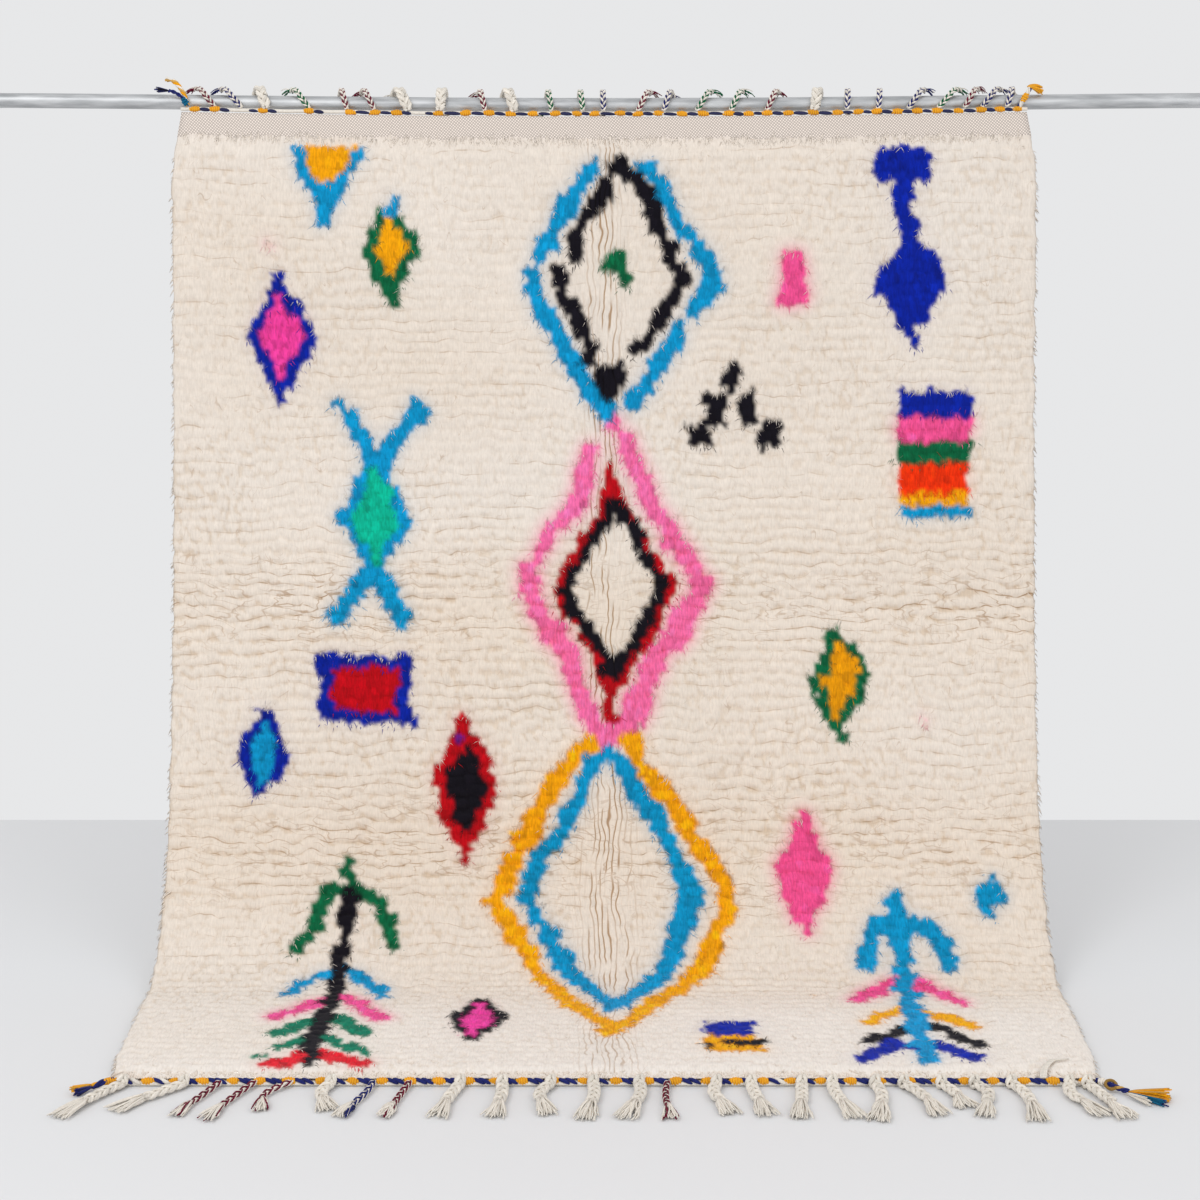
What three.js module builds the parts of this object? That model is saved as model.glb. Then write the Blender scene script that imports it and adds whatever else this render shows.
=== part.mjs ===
// A hand-knotted wool rug hung from a metal rod, its lower end drawn forward over the floor.
// Millimetres, +Z up. The origin is midway along the rod, on the line between its two supports.
// The pile side faces -Y. The rug hangs in front of the rod as a slack curve and then lies flat.
import * as THREE from "three";

// Driving dimensions
const ROD = { diameter: 26.9, length: 2400, sag: 9, aboveFloor: 1550, sides: 16, steps: 16 };
const RUG = {
  width: 1550, // the woven ground, without the pile that stands past it
  length: 2040,
  flatWeave: 42, // bare woven band at the upper end
  backing: 4,
  pile: 16,
  slack: 170, // tightest radius of the hanging curve, where it meets the floor
};
const BINDING = { diameter: 11, sides: 10, steps: 12, belowRod: 13, slack: 2.5 };
const GAP = 0.3; // between pieces that are sewn or laid against each other
const ROD_GAP = 0.5; // the faceted braids over the faceted rod
const OVAL_SIDES = 8;
const PLAIT_LIFT = 6; // the plaits arch this far off the top of the rod

// Where the rug's section is taken down its length, and across as shares of the half-width:
// closer at the bare band, the middle fold and the rounded sides
const STATIONS = { near: [0, 20, 42, 60, 80], from: 110, count: 34, endsShort: 30, last: 14 };
const COLUMNS = [1, 0.985, 0.66, 0.33, 0.09, 0.045];
const ROUNDING = { sideRise: 0.4, pileRise: { before: 10, after: 30 }, lowerEnd: { over: 30, loses: 0.4 } };

// Half-widths and half-thicknesses of the plaited ends, by yarn
const PLAITS = {
  white: { wide: 10.5, thick: 6.5, brush: 19 },
  green: { wide: 6.5, thick: 5, brush: 14 },
  navy: { wide: 6.5, thick: 5, brush: 14 },
  burgundy: { wide: 6.5, thick: 5, brush: 14 },
  corner: { wide: 5, thick: 4.5, brush: 9 },
};

const COLOURS = {
  pile: 0xeadcc8,
  white: 0xe9e3d8,
  green: 0x4f8a63,
  navy: 0x5a668f,
  burgundy: 0x8f4a58,
  corner: 0xd9992b,
  binding: 0xb98a3c,
  rod: 0xb4b7ba,
};

// Half-widths of the rug to the left and right, measured down its length.
// The pile spreads past the woven ground below the bare band and draws in again at the lower end.
const OUTLINE = [
  { at: 0, left: 775, right: 775 },
  { at: 42, left: 783, right: 784 },
  { at: 80, left: 791, right: 791 },
  { at: 140, left: 795, right: 795 },
  { at: 700, left: 796, right: 795 },
  { at: 1250, left: 797, right: 796 },
  { at: 1700, left: 797, right: 798 },
  { at: 1960, left: 789, right: 790 },
  { at: 2040, left: 777, right: 777 },
];

// Soft folds left from storage: one down the middle, two across. "rise" is towards the pile side.
const MIDDLE_FOLD = { x: 8, spread: 42, rise: 6, fadesFrom: 1500, fadesOver: 250 };
const CROSS_FOLDS = [
  { at: 905, spread: 55, rise: -4 },
  { at: 1330, spread: 70, rise: -5 },
];

// Plaited warp ends over the rod: place along it, sideways drift by the tip, degrees round the rod
// from its front, and how far the end then hangs down behind.
const ROD_PLAITS = [
  { x: -713, drift: -39, wrap: 112, hang: 0, yarn: "burgundy" },
  { x: -664, drift: -43, wrap: 115, hang: 0, yarn: "navy" },
  { x: -618, drift: -23, wrap: 150, hang: 0, yarn: "white" },
  { x: -540, drift: -37, wrap: 118, hang: 0, yarn: "green" },
  { x: -471, drift: -18, wrap: 160, hang: 0, yarn: "burgundy" },
  { x: -421, drift: -28, wrap: 135, hang: 0, yarn: "burgundy" },
  { x: -358, drift: -29, wrap: 145, hang: 0, yarn: "white" },
  { x: -300, drift: 5, wrap: 180, hang: 18, yarn: "white" },
  { x: -218, drift: -13, wrap: 130, hang: 0, yarn: "burgundy" },
  { x: -164, drift: -21, wrap: 160, hang: 0, yarn: "white" },
  { x: -96, drift: -14, wrap: 180, hang: 12, yarn: "green" },
  { x: -39, drift: -10, wrap: 180, hang: 20, yarn: "green" },
  { x: -1, drift: -3, wrap: 180, hang: 22, yarn: "navy" },
  { x: 62, drift: 25, wrap: 120, hang: 0, yarn: "burgundy" },
  { x: 109, drift: 18, wrap: 140, hang: 0, yarn: "navy" },
  { x: 170, drift: 30, wrap: 115, hang: 0, yarn: "green" },
  { x: 232, drift: 23, wrap: 112, hang: 0, yarn: "green" },
  { x: 298, drift: 24, wrap: 125, hang: 0, yarn: "burgundy" },
  { x: 385, drift: 11, wrap: 155, hang: 0, yarn: "white" },
  { x: 445, drift: 6, wrap: 180, hang: 24, yarn: "navy" },
  { x: 502, drift: 9, wrap: 180, hang: 16, yarn: "navy" },
  { x: 557, drift: 35, wrap: 115, hang: 0, yarn: "navy" },
  { x: 612, drift: 45, wrap: 118, hang: 0, yarn: "green" },
  { x: 660, drift: 28, wrap: 110, hang: 0, yarn: "burgundy" },
  { x: 692, drift: 40, wrap: 120, hang: 0, yarn: "navy" },
  { x: 738, drift: 17, wrap: 150, hang: 0, yarn: "navy" },
];
const ROD_CORNERS = [
  { name: "corner_tail_top_left", x: -764, drift: -44, wrap: 100, hang: 0, yarn: "corner" },
  { name: "corner_tail_top_right", x: 768, drift: 34, wrap: 105, hang: 0, yarn: "corner" },
];

// Plaited ends lying on the floor: place along the edge, sideways drift and reach forward by the tip.
// Thick ones come over the binding, slim ones from its front.
const FLOOR_PLAITS = [
  { x: -757, drift: -78, reach: 128, yarn: "white" },
  { x: -661, drift: -92, reach: 104, yarn: "white" },
  { x: -604, drift: -51, reach: 124, yarn: "burgundy" },
  { x: -549, drift: -60, reach: 138, yarn: "burgundy" },
  { x: -492, drift: -58, reach: 98, yarn: "burgundy" },
  { x: -430, drift: -12, reach: 104, yarn: "white" },
  { x: -363, drift: -37, reach: 128, yarn: "navy" },
  { x: -306, drift: -29, reach: 132, yarn: "burgundy" },
  { x: -227, drift: -31, reach: 128, yarn: "white" },
  { x: -161, drift: -3, reach: 128, yarn: "white" },
  { x: -85, drift: -23, reach: 120, yarn: "white" },
  { x: -18, drift: -5, reach: 138, yarn: "white" },
  { x: 54, drift: -12, reach: 136, yarn: "white" },
  { x: 99, drift: -5, reach: 136, yarn: "burgundy" },
  { x: 175, drift: 3, reach: 120, yarn: "white" },
  { x: 230, drift: 14, reach: 124, yarn: "white" },
  { x: 309, drift: -10, reach: 132, yarn: "white" },
  { x: 357, drift: 17, reach: 136, yarn: "white" },
  { x: 424, drift: 2, reach: 146, yarn: "white" },
  { x: 469, drift: 52, reach: 118, yarn: "white" },
  { x: 528, drift: 34, reach: 90, yarn: "white" },
  { x: 580, drift: 17, reach: 128, yarn: "white" },
  { x: 638, drift: 31, reach: 142, yarn: "white" },
  { x: 729, drift: 12, reach: 128, yarn: "white" },
  { x: 757, drift: 40, reach: 134, yarn: "white" },
];
const FLOOR_CORNERS = [
  { name: "corner_tail_floor_left", x: -778, drift: -52, reach: 58, yarn: "corner" },
  { name: "corner_tail_floor_right", x: 780, drift: 92, reach: 82, yarn: "corner" },
];

// A floor plait's outline: share of its length, and shares of the half-width and half-thickness.
const PLAIT_PROFILE = [
  { at: 0, wide: 0.85, thick: 0.85 },
  { at: 0.3, wide: 1, thick: 1 },
  { at: 0.58, wide: 0.8, thick: 0.9 },
  { at: 0.85, wide: "brush", thick: 0.75 },
  { at: 1, wide: "brush", thick: 0.5 },
];

const rodRadius = ROD.diameter / 2;
const bindingRadius = BINDING.diameter / 2;
const floor = -ROD.aboveFloor;
const hangY = -(rodRadius + ROD_GAP + PLAITS.green.thick);
const topEdgeDrop = BINDING.belowRod + bindingRadius + GAP; // from the rod's axis to the woven edge
const topEdgeHeight = ROD.aboveFloor - ROD.sag - BINDING.slack - topEdgeDrop;
// On a hanging curve of tightest radius a, the length s from its lowest point reaches
// the height sqrt(a*a + s*s) - a, at the horizontal distance a*asinh(s/a).
const hangLength = Math.sqrt((topEdgeHeight + RUG.slack) ** 2 - RUG.slack ** 2);
const hangReach = RUG.slack * Math.asinh(hangLength / RUG.slack);
const frontEdgeY = hangY - RUG.backing / 2 - hangReach - (RUG.length - hangLength);
const bindingY = frontEdgeY - GAP - bindingRadius;

// Heights that the rod's sag gives along its length, with level ends as its supports clamp them
function rodDrop(x) {
  return ROD.sag * (1 - ((2 * x) / ROD.length) ** 2) ** 2;
}

// The upper edge follows the rod, and hangs a little lower towards its middle
function edgeDrop(x) {
  return rodDrop(x) + BINDING.slack * (1 - ((2 * x) / RUG.width) ** 2);
}

function between(table, key, at) {
  const next = table.findIndex((row) => row.at >= at);
  if (next <= 0) return table[next < 0 ? table.length - 1 : 0][key];
  const a = table[next - 1];
  const b = table[next];
  return a[key] + ((b[key] - a[key]) * (at - a.at)) / (b.at - a.at);
}

function bump(distance, spread) {
  return Math.exp(-((distance / spread) ** 2));
}

// Back face of the rug at a length from its upper edge: place, and the direction of its pile
function backAt(length) {
  const s = hangLength - length;
  if (s <= 0) return { y: hangY - RUG.backing / 2 - hangReach + s, z: floor, out: [0, 1] };
  const a = RUG.slack;
  const run = Math.hypot(a, s);
  const y = hangY - RUG.backing / 2 - hangReach + a * Math.asinh(s / a);
  return { y, z: floor + run - a, out: [-s / run, a / run] };
}

// Folds lift the hanging rug off its plain curve, and are gone where it lies on the floor
function foldRise(x, length) {
  const { fadesFrom, fadesOver } = MIDDLE_FOLD;
  const hanging = THREE.MathUtils.clamp(1 - (length - fadesFrom) / fadesOver, 0, 1);
  const middle = MIDDLE_FOLD.rise * bump(x - MIDDLE_FOLD.x, MIDDLE_FOLD.spread);
  const across = CROSS_FOLDS.reduce((sum, f) => sum + f.rise * bump(length - f.at, f.spread), 0);
  return hanging * (middle + across);
}

function thicknessAt(length) {
  const { flatWeave, backing, pile } = RUG;
  const { pileRise, lowerEnd } = ROUNDING;
  const up = THREE.MathUtils.smoothstep(length, flatWeave - pileRise.before, flatWeave + pileRise.after);
  const ending = THREE.MathUtils.smoothstep(length, RUG.length - lowerEnd.over, RUG.length);
  return backing + pile * up * (1 - lowerEnd.loses * ending);
}

// A point of the rug: x across, length down from the upper edge, rise out of the back face
function rugPoint(x, length, rise) {
  const back = backAt(length);
  const out = rise + foldRise(x, length);
  const hanging = (back.z - floor) / topEdgeHeight;
  const lift = (edgeDrop(0) - edgeDrop(x)) * Math.max(0, hanging);
  return new THREE.Vector3(x, back.y + back.out[0] * out, back.z + back.out[1] * out + lift);
}

// One closed solid from rings of points, each with the same count, seen anticlockwise from the start
function loft(rings, capStart, capEnd) {
  const count = rings[0].length;
  const index = [];
  for (let r = 0; r + 1 < rings.length; r++)
    for (let i = 0; i < count; i++) {
      const a = r * count + i;
      const b = r * count + ((i + 1) % count);
      index.push(a, b + count, b, a, a + count, b + count);
    }
  const last = (rings.length - 1) * count;
  for (const [a, b, c] of capStart) index.push(a, b, c);
  for (const [a, b, c] of capEnd) index.push(last + a, last + c, last + b);
  const positions = rings.flat().flatMap((p) => [p.x, p.y, p.z]);
  const geometry = new THREE.BufferGeometry();
  geometry.setAttribute("position", new THREE.Float32BufferAttribute(positions, 3));
  geometry.setIndex(index);
  geometry.computeVertexNormals();
  return geometry;
}

function fan(count) {
  return Array.from({ length: count - 2 }, (_, i) => [0, i + 1, i + 2]);
}

// Strip that closes the rug's thin end: front points run out, back points run home
function strip(columns) {
  const count = 2 * columns - 2;
  const back = (i) => (count - i) % count;
  const faces = [];
  for (let i = 0; i + 1 < columns; i++) {
    const [f0, f1, b0, b1] = [i, i + 1, back(i), back(i + 1)];
    if (f1 !== b1) faces.push([f0, f1, b1]);
    if (f0 !== b0) faces.push([f0, b1, b0]);
  }
  return faces;
}

function stationsAlong() {
  const { near, from, count, endsShort, last } = STATIONS;
  const step = (RUG.length - endsShort - from) / (count - 1);
  const evenly = Array.from({ length: count }, (_, i) => from + i * step);
  return [...near, ...evenly, RUG.length - last, RUG.length];
}

function columnsAcross(left, right) {
  const inward = [...COLUMNS].reverse();
  return [...COLUMNS.map((s) => -s * left), MIDDLE_FOLD.x, ...inward.map((s) => s * right)];
}

function rugSolid() {
  const rings = stationsAlong().map((length) => {
    const xs = columnsAcross(between(OUTLINE, "left", length), between(OUTLINE, "right", length));
    const thick = thicknessAt(length);
    const inner = xs.slice(1, -1);
    const sideRise = thick * ROUNDING.sideRise;
    return [
      rugPoint(xs[0], length, sideRise),
      ...inner.map((x) => rugPoint(x, length, thick)),
      rugPoint(xs.at(-1), length, sideRise),
      ...inner.reverse().map((x) => rugPoint(x, length, 0)),
    ];
  });
  const columns = rings[0].length / 2 + 1;
  return loft(rings, strip(columns), strip(columns));
}

class AlongRod extends THREE.Curve {
  constructor(halfLength, y, z, drop) {
    super();
    Object.assign(this, { halfLength, y, z, drop });
  }
  getPoint(t, target = new THREE.Vector3()) {
    const x = (2 * t - 1) * this.halfLength;
    return target.set(x, this.y, this.z - this.drop(x));
  }
}

function roundBar(path, radius, sides, steps) {
  const section = new THREE.Shape().absarc(0, 0, radius, 0, 2 * Math.PI);
  const options = { extrudePath: path, steps, curveSegments: sides / 2, bevelEnabled: false };
  return new THREE.ExtrudeGeometry(section, options);
}

// Oval ring about a point of a plait's path
function ovalRing(centre, side, up, wide, thick) {
  return Array.from({ length: OVAL_SIDES }, (_, i) => {
    const turn = (2 * Math.PI * i) / OVAL_SIDES;
    return centre
      .clone()
      .addScaledVector(side, wide * Math.cos(turn))
      .addScaledVector(up, thick * Math.sin(turn));
  });
}

// Plait from the upper binding, up the rod's front and over it
function rodPlait({ x, drift, wrap, hang, yarn }) {
  const { wide, thick } = PLAITS[yarn];
  const radius = rodRadius + ROD_GAP + thick;
  const turnStep = 20;
  const turns = Math.ceil(wrap / turnStep);
  const start = -(BINDING.belowRod - bindingRadius) + GAP - (edgeDrop(x) - rodDrop(x));
  const total = -start + radius * THREE.MathUtils.degToRad(wrap) + hang;
  const rings = [];
  const addRing = (walked, y, z, out) => {
    const px = x + (drift * walked) / total;
    const centre = new THREE.Vector3(px, y, z - rodDrop(px));
    const up = new THREE.Vector3(0, out[0], out[1]);
    rings.push(ovalRing(centre, new THREE.Vector3(1, 0, 0), up, wide, thick));
  };
  addRing(0, -radius, start, [-1, 0]);
  for (let i = 0; i <= turns; i++) {
    const turn = THREE.MathUtils.degToRad((wrap * i) / turns);
    const out = [-Math.cos(turn), Math.sin(turn)];
    const arch = radius + PLAIT_LIFT * Math.sin(turn) ** 2;
    addRing(-start + radius * turn, arch * out[0], arch * out[1], out);
  }
  if (hang) addRing(total, radius, -hang, [1, 0]);
  return loft(rings, fan(OVAL_SIDES), fan(OVAL_SIDES));
}

// Plait and its loose brush from the lower binding, lying forward on the floor
function floorPlait({ x, drift, reach, yarn }) {
  const { wide, thick, brush } = PLAITS[yarn];
  const over = yarn === "white";
  const rings = [];
  const addRing = (px, y, z, out, w, t) => {
    const up = new THREE.Vector3(0, out[0], out[1]);
    rings.push(ovalRing(new THREE.Vector3(px, y, z), new THREE.Vector3(-1, 0, 0), up, w, t));
  };
  const arc = bindingRadius + ROD_GAP + thick;
  if (over)
    for (const degrees of [90, 50]) {
      const turn = THREE.MathUtils.degToRad(degrees);
      const out = [-Math.cos(turn), Math.sin(turn)];
      const z = Math.max(floor + bindingRadius + arc * out[1], floor + thick);
      addRing(x, bindingY + arc * out[0], z, out, wide * 0.85, thick * 0.9);
    }
  const startY = bindingY - (over ? arc + thick : bindingRadius + GAP);
  const length = reach - (over ? arc + thick - bindingRadius : 0);
  for (const row of PLAIT_PROFILE) {
    const w = row.wide === "brush" ? brush : wide * row.wide;
    const t = thick * row.thick;
    addRing(x + drift * row.at, startY - length * row.at, floor + t, [0, 1], w, t);
  }
  return loft(rings, fan(OVAL_SIDES), fan(OVAL_SIDES));
}

const object = new THREE.Group();

function addPiece(name, geometry, colour, roughness = 0.95, metalness = 0) {
  const material = new THREE.MeshStandardMaterial({ color: colour, roughness, metalness });
  const mesh = new THREE.Mesh(geometry, material);
  mesh.name = name;
  object.add(mesh);
}

function numbered(name, i) {
  return `${name}_${String(i + 1).padStart(2, "0")}`;
}

const rodLine = new AlongRod(ROD.length / 2, 0, 0, rodDrop);
addPiece("rod", roundBar(rodLine, rodRadius, ROD.sides, ROD.steps), COLOURS.rod, 0.35, 0.9);
addPiece("rug", rugSolid(), COLOURS.pile);

const upperBinding = new AlongRod(RUG.width / 2, hangY, -BINDING.belowRod, edgeDrop);
const lowerBinding = new AlongRod(RUG.width / 2, bindingY, floor + bindingRadius, () => 0);
for (const [name, path] of [["binding_top", upperBinding], ["binding_floor", lowerBinding]])
  addPiece(name, roundBar(path, bindingRadius, BINDING.sides, BINDING.steps), COLOURS.binding);

ROD_PLAITS.forEach((row, i) => addPiece(numbered("rod_plait", i), rodPlait(row), COLOURS[row.yarn]));
FLOOR_PLAITS.forEach((row, i) => addPiece(numbered("floor_plait", i), floorPlait(row), COLOURS[row.yarn]));
for (const row of ROD_CORNERS) addPiece(row.name, rodPlait(row), COLOURS.corner);
for (const row of FLOOR_CORNERS) addPiece(row.name, floorPlait(row), COLOURS.corner);

export default object;
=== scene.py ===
import bpy
import math
import numpy as np
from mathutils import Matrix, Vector


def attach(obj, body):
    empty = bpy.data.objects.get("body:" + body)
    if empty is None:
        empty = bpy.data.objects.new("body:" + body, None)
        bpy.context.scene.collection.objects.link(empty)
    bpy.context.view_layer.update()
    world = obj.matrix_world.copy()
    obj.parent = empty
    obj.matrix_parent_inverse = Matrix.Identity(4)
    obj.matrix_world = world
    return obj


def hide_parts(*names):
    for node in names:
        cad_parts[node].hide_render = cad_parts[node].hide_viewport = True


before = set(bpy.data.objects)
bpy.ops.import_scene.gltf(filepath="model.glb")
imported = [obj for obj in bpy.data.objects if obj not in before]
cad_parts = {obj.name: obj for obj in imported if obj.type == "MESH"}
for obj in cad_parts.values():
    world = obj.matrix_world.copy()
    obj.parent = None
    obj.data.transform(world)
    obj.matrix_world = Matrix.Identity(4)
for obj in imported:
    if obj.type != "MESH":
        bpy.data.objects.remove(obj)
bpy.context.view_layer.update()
print("frame loaded")

dice = np.random.default_rng(11)


def linear(r, g, b):  # screen colour 0-255 to light values
    c = np.array([r, g, b]) / 255.0
    return np.where(c <= 0.04045, c / 12.92, ((c + 0.055) / 1.055) ** 2.4)


yarnColours = {
    "ivory": linear(231, 220, 208),
    "turquoise": linear(0, 148, 202),
    "royal": linear(6, 34, 156),
    "black": linear(18, 15, 24),
    "pink": linear(246, 84, 150),
    "rose": linear(254, 112, 170),
    "hotPink": linear(238, 64, 156),
    "red": linear(190, 0, 22),
    "scarlet": linear(226, 30, 46),
    "green": linear(2, 100, 62),
    "fern": linear(8, 122, 92),
    "emerald": linear(4, 182, 148),
    "yellow": linear(250, 168, 6),
    "saffron": linear(242, 172, 44),
    "mustard": linear(230, 152, 2),
    "orange": linear(250, 54, 4),
    "navy": linear(36, 43, 108),
    "slate": linear(50, 52, 86),
    "burgundy": linear(112, 24, 50),
    "white": linear(236, 229, 218),
    "tan": linear(208, 164, 88),
    "teal": linear(20, 104, 140),
    "weave": linear(227, 215, 205),
}


def softNoise(x, y, seed):  # smooth random field, about one bump per unit
    cells = 64
    table = np.random.default_rng(seed).uniform(-1, 1, (cells, cells))
    xi, yi = np.floor(x).astype(int), np.floor(y).astype(int)
    fx, fy = x - xi, y - yi
    fx, fy = fx * fx * (3 - 2 * fx), fy * fy * (3 - 2 * fy)
    at = lambda i, j: table[(xi + i) % cells, (yi + j) % cells]
    return (at(0, 0) * (1 - fx) + at(1, 0) * fx) * (1 - fy) + (at(0, 1) * (1 - fx) + at(1, 1) * fx) * fy


def layered(x, v, layers):  # each layer: how far, bumps a metre across and down, seed
    return sum(far * softNoise(x * across, v * down, seed) for far, across, down, seed in layers)


def smooth(low, high, t):
    k = np.clip((t - low) / (high - low), 0, 1)
    return k * k * (3 - 2 * k)


def hump(t, spread):
    return np.exp(-((t / spread) ** 2))


# mesh from arrays, with a tint per point, a map in metres and further values per point
def addMesh(name, verts, quads, tris=None, tint=None, uv=None, material=None, values=None):
    me = bpy.data.meshes.new(name)
    tris = np.zeros((0, 3), int) if tris is None else np.asarray(tris)
    loops = np.concatenate([np.asarray(quads).ravel(), tris.ravel()]).astype(np.int32)
    starts = np.concatenate([np.arange(len(quads)) * 4, len(quads) * 4 + np.arange(len(tris)) * 3])
    me.vertices.add(len(verts))
    me.vertices.foreach_set("co", np.asarray(verts, np.float32).ravel())
    me.loops.add(len(loops))
    me.loops.foreach_set("vertex_index", loops)
    me.polygons.add(len(starts))
    me.polygons.foreach_set("loop_start", starts.astype(np.int32))
    me.polygons.foreach_set("use_smooth", np.ones(len(starts), bool))
    me.update(calc_edges=True)
    layer = me.color_attributes.new("tint", "FLOAT_COLOR", "POINT")
    rgba = np.column_stack([tint, np.ones(len(tint))])
    layer.data.foreach_set("color", rgba.astype(np.float32).ravel())
    for key, value in (values or {}).items():
        layer = me.attributes.new(key, "FLOAT_VECTOR", "POINT")
        layer.data.foreach_set("vector", np.asarray(value, np.float32).ravel())
    layer = me.uv_layers.new(name="cloth")
    layer.data.foreach_set("uv", np.asarray(uv, np.float32)[loops].ravel())
    me.validate()
    me.materials.append(material)
    ob = bpy.data.objects.new(name, me)
    bpy.context.scene.collection.objects.link(ob)
    return ob


def gridFaces(rows, cols):
    i = np.arange(rows - 1)[:, None] * cols + np.arange(cols - 1)[None, :]
    return np.stack([i, i + cols, i + cols + 1, i + 1], -1).reshape(-1, 4)


# the rug's own curve, as it hangs from the rod and runs out on the floor
rugCurve = {
    "length": 2.040, "flatWeave": 0.042, "backing": 0.004,
    "slack": 0.170,  # tightest radius, at the floor
    "floor": -1.550, "rodSag": 0.009, "edgeSlack": 0.0025, "topDrop": 0.0188,
    "hangY": -0.01895, "rodLength": 2.4, "width": 1.55,
}
outline = {  # half-widths down the length
    "at": [0, 0.042, 0.080, 0.140, 0.7, 1.25, 1.7, 1.96, 2.040],
    "left": [0.775, 0.783, 0.791, 0.795, 0.796, 0.797, 0.797, 0.789, 0.777],
    "right": [0.775, 0.784, 0.791, 0.795, 0.795, 0.796, 0.798, 0.790, 0.777],
}
folds = {
    "middle": {"x": 0.008, "spread": 0.042, "rise": 0.006, "fadesFrom": 1.5, "fadesOver": 0.25},
    "across": [{"at": 0.905, "spread": 0.055, "rise": -0.004},
               {"at": 1.33, "spread": 0.07, "rise": -0.005}],
}
topHeight = -rugCurve["floor"] - rugCurve["rodSag"] - rugCurve["edgeSlack"] - rugCurve["topDrop"]
hangLength = math.sqrt((topHeight + rugCurve["slack"]) ** 2 - rugCurve["slack"] ** 2)
hangReach = rugCurve["slack"] * math.asinh(hangLength / rugCurve["slack"])
landY = rugCurve["hangY"] - rugCurve["backing"] / 2 - hangReach
frontY = landY - (rugCurve["length"] - hangLength)


def rodDrop(x):
    return rugCurve["rodSag"] * (1 - (2 * np.asarray(x) / rugCurve["rodLength"]) ** 2) ** 2


def edgeDrop(x):
    return rodDrop(x) + rugCurve["edgeSlack"] * (1 - (2 * np.asarray(x) / rugCurve["width"]) ** 2)


def rugPoint(x, v, rise):  # across, down from the upper edge, out of the back
    x, v, rise = np.broadcast_arrays(*(np.asarray(t, float) for t in (x, v, rise)))
    a = rugCurve["slack"]
    s = hangLength - v
    up = np.maximum(s, 0)
    run = np.hypot(a, up)
    y = landY + np.where(s > 0, a * np.arcsinh(up / a), s)
    z = rugCurve["floor"] + run - a
    mid = folds["middle"]
    hanging = np.clip(1 - (v - mid["fadesFrom"]) / mid["fadesOver"], 0, 1)
    fold = mid["rise"] * hump(x - mid["x"], mid["spread"])
    for f in folds["across"]:
        fold = fold + f["rise"] * hump(v - f["at"], f["spread"])
    out = rise + hanging * fold
    lift = (edgeDrop(0) - edgeDrop(x)) * (z - rugCurve["floor"]) / topHeight
    return np.stack([x, y - out * up / run, z + out * a / run + lift], -1)


def halfWidth(v, side):
    return np.interp(v, outline["at"], outline[side])


# motifs: x and v in metres on the rug, each shape by its own few sizes
bluntTip = 0.009  # half a knot's width, the least at a tip


def inLozenge(x, v, m, rim=(0, 0, 0)):  # rim at the sides, the top and the foot
    top, wide, foot = m["v"]
    k = np.abs(v - wide) / np.where(v < wide, wide - top - rim[1], foot - wide - rim[2])
    reach = (m["half"] - rim[0]) * (1 - np.minimum(k, 1) ** m["bulge"])
    return (k < 1) & (np.abs(x - m["x"]) < np.maximum(reach, bluntTip))


def nearLine(x, v, points, thick):
    close = np.full(len(x), 9.0)
    for a, b in zip(points[:-1], points[1:]):
        dx, dv = b[0] - a[0], b[1] - a[1]
        t = np.clip(((x - a[0]) * dx + (v - a[1]) * dv) / (dx * dx + dv * dv), 0, 1)
        close = np.minimum(close, np.hypot(x - a[0] - t * dx, v - a[1] - t * dv))
    return close < thick / 2


def inBox(x, v, across, down):
    return (x > across[0]) & (x < across[1]) & (v > down[0]) & (v < down[1])


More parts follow.
